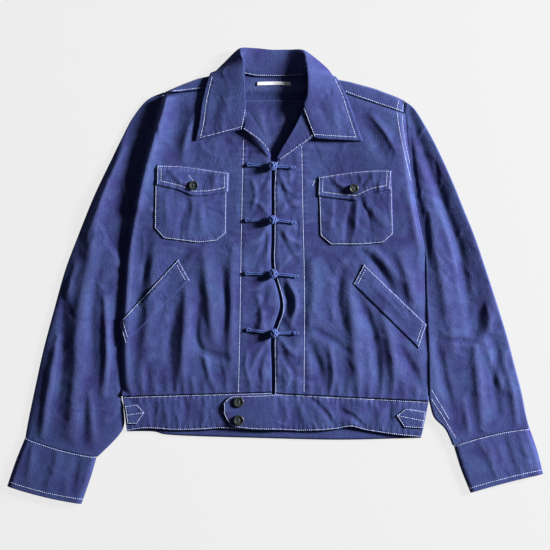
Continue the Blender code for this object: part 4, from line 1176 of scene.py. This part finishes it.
def patch_points(name, trees, lift):
    """Piece sewn onto a panel: it follows the panel, its edges turned down onto it."""
    x, y, u, v, depth, _ = strip_points(PATCHES[name], sizes().trim_cell / MM)
    run = math.dist(PATCHES[name][0][:2], PATCHES[name][-1][:2])
    from_edge = np.minimum(np.minimum(v, 1 - v) * depth, np.minimum(u, 1 - u) * run)
    under = drop_grid(trees, x, y)
    base = np.maximum(blurred(under, 1), widened(under))
    bumps = all_folds(name, PATCH_FOLDS.get(name, ()), x, y) * soft(0, 8, from_edge)
    bumps = bumps + 0.4 * crumple(x, y, SEEDS["patch"]) * soft(0, 10, from_edge)
    z = base + lift + 0.55 * soft(0, 3, from_edge) + np.maximum(bumps, -0.6 * lift)
    z = z + sewn("patch", edge_lines(name), x, y)
    return np.stack((x, y, np.maximum(z, base + sizes().patch_wall / MM + 0.25)), -1)


def edge_lines(name):
    """Rows of stitching that follow the edges of a patch."""
    table = [np.array(row, float) for row in PATCHES[name]]
    top, low = [row[:2] for row in table], [row[2:] for row in table]
    outline = [top[0]] + low + top[:0:-1]
    names = ["start"] + ["low"] * (len(low) - 1) + ["end"] + ["top"] * (len(top) - 1)
    middle = sum(outline) / len(outline)
    count = len(outline)
    lines = []
    for inset, edges in EDGE_STITCHES[name.split("_")[0]]:
        moved = [tuple(corner) for corner in inset_outline(outline, middle, inset)]
        path = []
        for k in range(count):
            if names[k] in edges:
                path += [moved[k], moved[(k + 1) % count]] if not path else [moved[(k + 1) % count]]
            elif path:
                lines.append(path)
                path = []
        if path:
            lines.append(path)
    return lines


def inset_outline(outline, middle, inset):
    """Corners of an outline moved in by the same distance from every edge."""
    count = len(outline)
    lines = []
    for k in range(count):
        a, b = outline[k], outline[(k + 1) % count]
        run = (b - a) / max(np.linalg.norm(b - a), 1e-6)
        inward = np.array((-run[1], run[0]))
        if inward.dot(middle - a) < 0:
            inward = -inward
        lines.append((a + inward * inset, run))
    corners = []
    for k in range(count):
        (p, r), (q, s) = lines[k - 1], lines[k]
        cross = r[0] * s[1] - r[1] * s[0]
        if abs(cross) < 0.05:
            corners.append(q)
            continue
        t = ((q[0] - p[0]) * s[1] - (q[1] - p[1]) * s[0]) / cross
        corners.append(p + r * t)
    return corners


def back_points():
    """Back panel, flat on the surface, with soft waves where the neck shows it."""
    u, v = grid(100, 100)
    column = YOKE_ENDS[0] + (YOKE_ENDS[1] - YOKE_ENDS[0]) * u
    seam_y = along(BACK_SEAM, column) + BACK_INSET
    low_y = -194 - 5.0 * soft(0.3, 1.0, u)
    y = seam_y + (low_y - seam_y) * v
    left, right = side_x("left", y) + BACK_INSET, side_x("right", y) - BACK_INSET
    x = left + (right - left) * u
    x = x + (column - x) * (1 - v) ** 8
    shown = np.exp(-(x / 60) ** 2) * soft(150, 190, y) * soft(0, 0.03, v)
    # its top edge laps up over the yoke's
    lap = 1.7 * (1 - soft(0.004, 0.016, v))
    waves = all_folds("back", BACK_FOLDS, x, y) + 0.8 * crumple(x, y, SEEDS["back"]) + 0.7
    z = sizes().cloth_wall / MM + lap + np.maximum(waves * shown, 0)
    return np.stack((x, y, z), -1)


def tube_mesh(paths, sides, twist):
    """Vertices and faces of round cords along some paths: every path is points and a radius."""
    verts, faces = [], []
    for path, radius in paths:
        path = np.asarray(path, float)
        tangents = np.gradient(path, axis=0)
        tangents /= np.linalg.norm(tangents, axis=1)[:, None]
        up = np.array((0.0, 0.0, 1.0))
        start = len(verts)
        for point, tangent, run in zip(path, tangents, lengths(path)):
            across = np.cross(tangent, up)
            if np.linalg.norm(across) < 1e-3:
                across = np.cross(tangent, (0.0, 1.0, 0.0))
            across /= np.linalg.norm(across)
            up = np.cross(across, tangent)
            for s in range(sides):
                angle = 2 * math.pi * s / sides
                ply = 0.86 + 0.14 * abs(math.cos(angle - run * twist)) * 1.6
                size = radius * (ply if twist else 1.0)
                verts.append(point + size * (math.cos(angle) * across + math.sin(angle) * up))
        faces += ring_faces(start, len(path), sides)
        faces.append(tuple(start + s for s in reversed(range(sides))))
        faces.append(tuple(start + (len(path) - 1) * sides + s for s in range(sides)))
    return verts, faces


def ring_faces(start, count, sides):
    """Faces between neighbouring rings of vertices."""
    made = []
    for k in range(count - 1):
        for s in range(sides):
            a, b = start + k * sides + s, start + k * sides + (s + 1) % sides
            made.append((a, b, b + sides, a + sides))
    return made


def solid(name, verts, faces, finish, merge=False):
    """Small solid piece from vertices in millimetres; merge joins those in one place."""
    mesh = bpy.data.meshes.new(name)
    mesh.from_pydata([tuple(v * MM) for v in np.asarray(verts, float)], [], faces)
    bm = bmesh.new()
    bm.from_mesh(mesh)
    if merge:
        bmesh.ops.remove_doubles(bm, verts=bm.verts[:], dist=0.01 * MM)
    bmesh.ops.recalc_face_normals(bm, faces=bm.faces[:])
    bm.to_mesh(mesh)
    bm.free()
    mesh.materials.append(finish)
    mesh.polygons.foreach_set("use_smooth", [True] * len(mesh.polygons))
    return placed(name, mesh)


def dense_path(points, step=0.8):
    """Points every step along the smooth curve through some points."""
    fine = spline(points, np.linspace(0, 1, 24 * len(points))).T
    return evenly(fine, step, 3)


def evenly(points, step, least):
    """Points every step along straight lines through some points."""
    run = lengths(points)
    places = np.linspace(0, run[-1], max(int(run[-1] / step), least) + 1)
    return np.stack([np.interp(places, run, column) for column in points.T], -1)


def stitch_tree():
    """Node tree that lays stitches along lines, and the identifiers of its sizes; it is made once."""
    if STITCH_TREE in bpy.data.node_groups:
        tree = bpy.data.node_groups[STITCH_TREE]
        return tree, {i.name: i.identifier for i in tree.interface.items_tree if i.in_out == "INPUT"}
    tree = bpy.data.node_groups.new(STITCH_TREE, "GeometryNodeTree")
    tree.interface.new_socket("Lines", in_out="INPUT", socket_type="NodeSocketGeometry")
    for name in ("Pitch", "Length", "Width", "Height"):
        tree.interface.new_socket(name, in_out="INPUT", socket_type="NodeSocketFloat")
    tree.interface.new_socket("Stitches", in_out="OUTPUT", socket_type="NodeSocketGeometry")
    given = add(tree, "NodeGroupInput").outputs
    curve = add(tree, "GeometryNodeMeshToCurve", None, {"Mesh": given["Lines"]})
    spots = add(tree, "GeometryNodeResampleCurve", {"mode": "LENGTH"},
                {"Curve": curve.outputs[0], "Length": given["Pitch"]})
    size = add(tree, "ShaderNodeCombineXYZ", None,
               {0: given["Length"], 1: given["Width"], 2: given["Height"]})
    bead = add(tree, "GeometryNodeMeshUVSphere", None, {"Segments": 6, "Rings": 4, "Radius": 0.5})
    shaped = add(tree, "GeometryNodeTransform", None,
                 {"Geometry": bead.outputs[0], "Scale": size.outputs[0]})
    smooth = add(tree, "GeometryNodeSetShadeSmooth", None, {"Geometry": shaped.outputs[0]})
    way = add(tree, "GeometryNodeInputTangent")
    turn = add(tree, "FunctionNodeAlignRotationToVector", {"axis": "X"}, {"Vector": way.outputs[0]})
    uneven = add(tree, "FunctionNodeRandomValue", {"data_type": "FLOAT"}, {2: 0.82, 3: 1.08, "Seed": 7})
    laid = add(tree, "GeometryNodeInstanceOnPoints", None,
               {"Points": spots.outputs[0], "Instance": smooth.outputs[0], "Rotation": turn.outputs[0],
                "Scale": uneven.outputs[1]})
    real = add(tree, "GeometryNodeRealizeInstances", None, {"Geometry": laid.outputs[0]})
    dyed = add(tree, "GeometryNodeSetMaterial", None,
               {"Geometry": real.outputs[0], "Material": trim_finish("pale sewing thread")})
    add(tree, "NodeGroupOutput", None, {"Stitches": dyed.outputs[0]})
    return stitch_tree()


def stitch_row(node, lines):
    """Stitches of one piece along its lines, dropped onto the piece."""
    trees = [finder("cloth_" + node)]
    verts, edges = [], []
    for line in lines:
        before = None
        for x, y in evenly(np.asarray([tuple(p[:2]) for p in line], float), 1.2, 2):
            z = drop(trees, x, y)
            if z is None:
                before = None
                continue
            verts.append((x * MM, y * MM, (z + THREAD_LIFT) * MM))
            if before is not None:
                edges.append((before, len(verts) - 1))
            before = len(verts) - 1
    mesh = bpy.data.meshes.new("stitches_" + node)
    mesh.from_pydata(verts, edges, [])
    obj = placed("stitches_" + node, mesh)
    rows = obj.modifiers.new("stitches", "NODES")
    rows.node_group, sockets = stitch_tree()
    rows[sockets["Pitch"]] = sizes().stitch_pitch
    rows[sockets["Length"]] = sizes().stitch_length
    rows[sockets["Width"]] = sizes().thread_width
    rows[sockets["Height"]] = 0.7 * sizes().thread_width
    settle(obj)
    if len(obj.data.polygons) == 0:
        raise RuntimeError("no stitches were made for " + node)
    return join_up(obj, None)


class JACKET_OT_back(bpy.types.Operator):
    """Back panel, yoke and back waistband"""
    bl_idname = "jacket.back"
    bl_label = "Back and yoke"

    def execute(self, context):
        cut_out("back", back_points(), sizes().cloth_wall)
        points, keep = yoke_points()
        cut_out("yoke", points, sizes().cloth_wall, keep)
        cut_out("waistband_back", band_points("back"), sizes().band_wall)
        return {"FINISHED"}


class JACKET_OT_fronts(bpy.types.Operator):
    """Both front panels"""
    bl_idname = "jacket.fronts"
    bl_label = "Fronts"

    def execute(self, context):
        for side in SIDES:
            cut_out("front_" + side, front_points(side), sizes().cloth_wall)
        return {"FINISHED"}


class JACKET_OT_sleeves(bpy.types.Operator):
    """Sleeves and cuffs"""
    bl_idname = "jacket.sleeves"
    bl_label = "Sleeves and cuffs"

    def execute(self, context):
        cell = sizes().panel_cell / MM
        cuff_cell = 1.2 * (sizes().trim_cell / MM)
        for side in SIDES:
            sleeve = "sleeve_" + side
            points = tube_points(sleeve, SLEEVE_ROWS[side], SLEEVE_FOLDS[side], SLEEVE_TOP, cell,
                                 SLEEVE_LENGTH, 1.0)
            cut_out(sleeve, points, sizes().cloth_wall)
            cuff = "cuff_" + side
            points = tube_points(cuff, CUFF_ROWS[side], CUFF_FOLDS[side], CUFF_TOP, cuff_cell,
                                 CUFF_LENGTH, 0.5)
            cut_out(cuff, points, sizes().band_wall)
        return {"FINISHED"}


class JACKET_OT_collar(bpy.types.Operator):
    """Collar and both lapels"""
    bl_idname = "jacket.collar"
    bl_label = "Collar and lapels"

    def execute(self, context):
        cut_out("collar", collar_points(), sizes().band_wall)
        for side in SIDES:
            cut_out("facing_" + side, facing_points(side), sizes().cloth_wall)
        return {"FINISHED"}


class JACKET_OT_waistband(bpy.types.Operator):
    """Front waistband and its side tabs"""
    bl_idname = "jacket.waistband"
    bl_label = "Waistband"

    def execute(self, context):
        for side in SIDES:
            cut_out("waistband_" + side, band_points(side), sizes().band_wall)
        for side in SIDES:
            points = patch_points("tab_" + side, [finder("cloth_waistband_" + side)], PATCH_LIFT["tab"])
            cut_out("tab_" + side, points, sizes().patch_wall)
        return {"FINISHED"}


class JACKET_OT_pockets(bpy.types.Operator):
    """Chest pockets, their flaps and the slanted welts"""
    bl_idname = "jacket.pockets"
    bl_label = "Pockets"

    def execute(self, context):
        for kind in ("pocket", "welt", "flap"):
            for side in SIDES:
                under = ["cloth_front_" + side]
                if kind == "flap":
                    under.append("cloth_pocket_" + side)
                node = kind + "_" + side
                points = patch_points(node, [finder(name) for name in under], PATCH_LIFT[kind])
                cut_out(node, points, sizes().patch_wall)
        return {"FINISHED"}


def cuff_lines(side):
    """Rows of stitching round a cuff, at its seam and above its hem."""
    across = np.linspace(0.02, 0.98, 40)
    lines = []
    for share in (0.03, 0.875):
        out_x, out_y, in_x, in_y, bow_y, _ = spline(CUFF_ROWS[side], np.full(40, share))
        x = out_x + (in_x - out_x) * across
        y = out_y + (in_y - out_y) * across + 4 * across * (1 - across) * bow_y
        lines.append(list(zip(x, y)))
    return lines


def facing_lines(side):
    """Row of stitching along the outer edge of a lapel."""
    roll_x, roll_y, _, edge_x, edge_y, _ = spline(FACING_ROWS[side], np.linspace(0, 0.97, 30))
    return [list(zip(roll_x + (edge_x - roll_x) * 0.93, roll_y + (edge_y - roll_y) * 0.93))]


class JACKET_OT_stitches(bpy.types.Operator):
    """Rows of stitching on the pieces"""
    bl_idname = "jacket.stitches"
    bl_label = "Stitching"

    def execute(self, context):
        for node in ("front_left", "front_right", "sleeve_right", "yoke"):
            stitch_row(node, STITCH_LINES[node])
        for node in PATCHES:
            stitch_row(node, edge_lines(node) + list(STITCH_LINES.get(node, ())))
        for side in SIDES:
            stitch_row("waistband_" + side, band_lines(side))
            stitch_row("cuff_" + side, cuff_lines(side))
            stitch_row("facing_" + side, facing_lines(side))
        leaves = [collar_stitch_path(side) for side in SIDES]
        stitch_row("collar", leaves + list(STITCH_LINES["collar"]))
        return {"FINISHED"}


def knot_path(centre, turn):
    """Closed path of a cord woven into a ball."""
    t = np.linspace(0, 2 * np.pi, 190)
    around, rise = 4 * t, 0.95 * np.sin(5 * t)
    weave = 1 + 0.09 * np.sin(10 * t + 0.7)
    half_width, half_length, half_height = KNOT
    x = half_width * weave * np.cos(around) * np.cos(rise)
    y = half_length * weave * np.sin(rise) * 1.1
    z = half_height * weave * np.sin(around) * np.cos(rise)
    return np.stack((centre[0] + x * math.cos(turn) - y * math.sin(turn),
                     centre[1] + x * math.sin(turn) + y * math.cos(turn), centre[2] + z), -1)


def lying(trees, knot, end, share, offset, thick):
    """Point of a cord on the fronts at a share of its way from a frog's knot to its end."""
    x = knot[0] + (end[0] - knot[0]) * share
    y = knot[1] + (end[1] - knot[1]) * share + offset
    return x, y, rest_height(trees, x, y, 2.6) + thick + CORD_GAP


def knot_cords(trees, knot, end, radius, turn):
    """Cords of a knot: its doubled bar, a wrap round the bar, the woven ball and its core."""
    thick = 1.1 * radius
    knot_x, knot_y = knot
    end_x, end_y = end
    knot_z = rest_height(trees, knot_x, knot_y, 6) + 1.1 * KNOT[2] + 1.2 * thick + CORD_GAP
    shares = np.linspace(0.08, 1.0, 10)
    bar = []
    for offset in (0.95 * radius, -0.95 * radius):
        points = [lying(trees, knot, end, s, offset, thick) for s in shares]
        bar.append([(x, y, max(z, (knot_z - 1) * (1 - s))) for s, (x, y, z) in zip(shares, points)])
    bar_z = bar[0][-1][2]
    hook_z = rest_height(trees, end_x + 1.5, end_y, 3) + thick + 0.3
    doubled = dense_path(bar[0] + [(end_x + 2.2, end_y, max(hook_z, bar_z))] + bar[1][::-1])
    t = np.linspace(0, 4 * np.pi, 40)
    wrap = np.stack((end_x - 5.5 + 0.9 * t / np.pi, end_y + 2.0 * radius * np.cos(t),
                     bar_z + 1.25 * radius * np.maximum(np.sin(t), -0.1)), -1)
    ball = knot_path((knot_x, knot_y, knot_z), turn)
    core = dense_path([(knot_x + shift, knot_y, knot_z) for shift in (-3.4, 0, 3.4)])
    return [(doubled, radius), (wrap, 0.6 * radius), (ball, 1.15 * radius), (core, KNOT_CORE)]


def loop_cord(trees, knot, end, radius):
    """Cord of a loop's bar, curled round at its end."""
    thick = 1.1 * radius
    end_x, end_y = end
    there, back = ([lying(trees, knot, end, s, offset, thick) for s in np.linspace(0.2, 0.94, 9)]
                   for offset in (0.9 * radius, -0.9 * radius))
    end_z = rest_height(trees, end_x - 1.5, end_y, 3.5) + thick + CORD_GAP
    curl = [(end_x - 1.0, end_y + 3.0, end_z + 0.1), (end_x - 3.2, end_y + 1.2, end_z + 0.3),
            (end_x - 2.4, end_y - 1.6, end_z + 0.1)]
    return [(dense_path(there + curl + back[::-1]), 0.92 * radius)]


class JACKET_OT_frogs(bpy.types.Operator):
    """Four frog fastenings: knots with their bars on the right, loop bars on the left"""
    bl_idname = "jacket.frogs"
    bl_label = "Frog fastenings"

    def execute(self, context):
        trees = [finder("cloth_front_" + side) for side in SIDES]
        radius = sizes().cord_radius / MM
        for number, (*knot, left_x, left_y, right_x, right_y) in enumerate(FROGS, 1):
            made = {
                "knot": knot_cords(trees, knot, (right_x, right_y), radius, 0.25 * (-1) ** number),
                "loop": loop_cord(trees, knot, (left_x, left_y), radius),
            }
            for kind, cords in made.items():
                node = "frog_%d_%s" % (number, kind)
                mesh = tube_mesh(cords, CORD_SIDES, CORD_TWIST)
                join_up(solid("cord_" + node, *mesh, trim_finish("blue twisted cord")), node)
        return {"FINISHED"}


def button_mesh(x, y, low, radius, holes):
    """Vertices and faces of a turned button with its holes sunk in."""
    verts = []
    for share, high in BUTTON_PROFILE:
        for s in range(BUTTON_SIDES):
            angle = 2 * math.pi * s / BUTTON_SIDES
            at_x, at_y = share * radius * math.cos(angle), share * radius * math.sin(angle)
            near = min(math.dist((at_x, at_y), hole) for hole in holes)
            dip = 1.5 * (1 - float(soft(0.06, 0.15, near / radius))) if high == BUTTON_FACE else 0.0
            verts.append((x + at_x, y + at_y, low + high - dip))
    return verts, ring_faces(0, len(BUTTON_PROFILE), BUTTON_SIDES)


def button_threads(x, y, low, holes):
    """Two pairs of threads from hole to hole."""
    paths = []
    for (ax, ay), (bx, by) in (holes[:2], holes[2:]):
        for shift in (-0.35, 0.35):
            points = [(x + ax + shift, y + ay, low + 1.2),
                      (x + (ax + bx) / 2 + shift, y + (ay + by) / 2, low + 2.3),
                      (x + bx + shift, y + by, low + 1.2)]
            paths.append((dense_path(points, 0.5), 0.38))
    return tube_mesh(paths, 6, 0)


class JACKET_OT_buttons(bpy.types.Operator):
    """Four-hole buttons with their sewing thread"""
    bl_idname = "jacket.buttons"
    bl_label = "Buttons"

    def execute(self, context):
        for node, (x, y, radius, on) in BUTTONS.items():
            low = rest_height([finder("cloth_" + on)], x, y, 5) + 0.3
            holes = [(0.26 * radius * math.cos(a), 0.26 * radius * math.sin(a))
                     for a in (0.6 + k * math.pi / 2 for k in range(4))]
            form = button_mesh(x, y, low, radius, holes)
            join_up(solid(node + "_turned", *form, trim_finish("dark horn"), True), node)
            sewing = button_threads(x, y, low, holes)
            join_up(solid(node + "_thread", *sewing, trim_finish("grey button thread")), None)
        return {"FINISHED"}


class JACKET_OT_label(bpy.types.Operator):
    """Plain woven label in the back neck"""
    bl_idname = "jacket.label"
    bl_label = "Neck label"

    def execute(self, context):
        u, v = grid(40, 10)
        x = LABEL["left"] + (LABEL["right"] - LABEL["left"]) * u
        y = LABEL["low"] + (LABEL["high"] - LABEL["low"]) * v + 0.8 * np.sin(np.pi * u)
        z = NECK_LIFT + 2.4 + 0.25 * np.sin(9 * u) + 0.2 * np.cos(7 * u + 3 * v)
        points = np.stack((x, y, z), -1)
        tape = cloth("tape_neck_label", points, TAPE_WALL, trim_finish("white woven tape"))
        join_up(tape, "neck_label")
        return {"FINISHED"}


class JACKET_OT_stage(bpy.types.Operator):
    """Pale floor, soft low light from the right and the camera straight above"""
    bl_idname = "jacket.stage"
    bl_label = "Stage"

    def execute(self, context):
        scene = context.scene
        mesh = bpy.data.meshes.new("floor")
        ways = ((-1, -1), (1, -1), (1, 1), (-1, 1))
        corners = [(x * FLOOR_HALF, y * FLOOR_HALF, FLOOR_LOW) for x, y in ways]
        mesh.from_pydata(corners, [], [(0, 1, 2, 3)])
        made, tree, shader = new_material("pale table")
        pale = tuple(colours().floor)
        glow = add(tree, "ShaderNodeEmission", None, {"Color": pale, "Strength": 1.0})
        shader.inputs["Base Color"].default_value = pale
        shader.inputs["Roughness"].default_value = 1.0
        lit = add(tree, "ShaderNodeMixShader", None,
                  {0: FLOOR_GLOW, 1: shader.outputs[0], 2: glow.outputs[0]})
        tree.links.new(lit.outputs[0], tree.nodes["Material Output"].inputs["Surface"])
        mesh.materials.append(made)
        placed("floor", mesh)
        light = bpy.data.lights.new("key light", "AREA")
        light.shape = "DISK"
        light.size = KEY_SIZE
        light.energy = KEY_POWER
        turn, rise = math.radians(KEY_TURN), math.radians(KEY_RISE)
        way = Vector((math.cos(rise) * math.cos(turn), math.cos(rise) * math.sin(turn), math.sin(rise)))
        key = placed("key light", light)
        key.location = KEY_FAR * way
        key.rotation_euler = (-way).to_track_quat("-Z", "Y").to_euler()
        world = bpy.data.worlds.new("soft room")
        world.use_nodes = True
        room = world.node_tree.nodes["Background"].inputs
        room["Color"].default_value = tuple(colours().room)
        room["Strength"].default_value = ROOM_LIGHT
        scene.world = world
        view = bpy.data.cameras.new("camera")
        view.lens = LENS
        view.sensor_width = SENSOR
        scene.camera = placed("camera", view)
        scene.camera.location = (0, 0, CAMERA_HEIGHT)
        scene.view_settings.view_transform = "Standard"
        return {"FINISHED"}


class JACKET_PT_sidebar(bpy.types.Panel):
    """Sizes, colours and the steps that make the jacket"""
    bl_idname = "JACKET_PT_sidebar"
    bl_label = "Work Jacket"
    bl_space_type = "VIEW_3D"
    bl_region_type = "UI"
    bl_category = "Jacket"

    def draw(self, context):
        for group in (context.scene.jacket_sizes, context.scene.jacket_colours):
            box = self.layout.box()
            for name in group.__annotations__:
                box.prop(group, name)
        for step in STEPS:
            self.layout.operator(step.bl_idname)


STEPS = (JACKET_OT_back, JACKET_OT_fronts, JACKET_OT_sleeves, JACKET_OT_collar, JACKET_OT_waistband,
         JACKET_OT_pockets, JACKET_OT_label, JACKET_OT_stitches, JACKET_OT_frogs, JACKET_OT_buttons,
         JACKET_OT_stage)
CLASSES = (JacketSizes, JacketColours) + STEPS + (JACKET_PT_sidebar,)


def register():
    """Make the classes and the scene's settings known."""
    for item in CLASSES:
        bpy.utils.register_class(item)
    bpy.types.Scene.jacket_sizes = bpy.props.PointerProperty(type=JacketSizes)
    bpy.types.Scene.jacket_colours = bpy.props.PointerProperty(type=JacketColours)


def unregister():
    """Take the classes and settings away again."""
    del bpy.types.Scene.jacket_sizes
    del bpy.types.Scene.jacket_colours
    for item in reversed(CLASSES):
        bpy.utils.unregister_class(item)


def main():
    """Make every piece in order."""
    register()
    for step in STEPS:
        group, name = step.bl_idname.split(".")
        getattr(getattr(bpy.ops, group), name)()


if __name__ == "__main__":
    main()
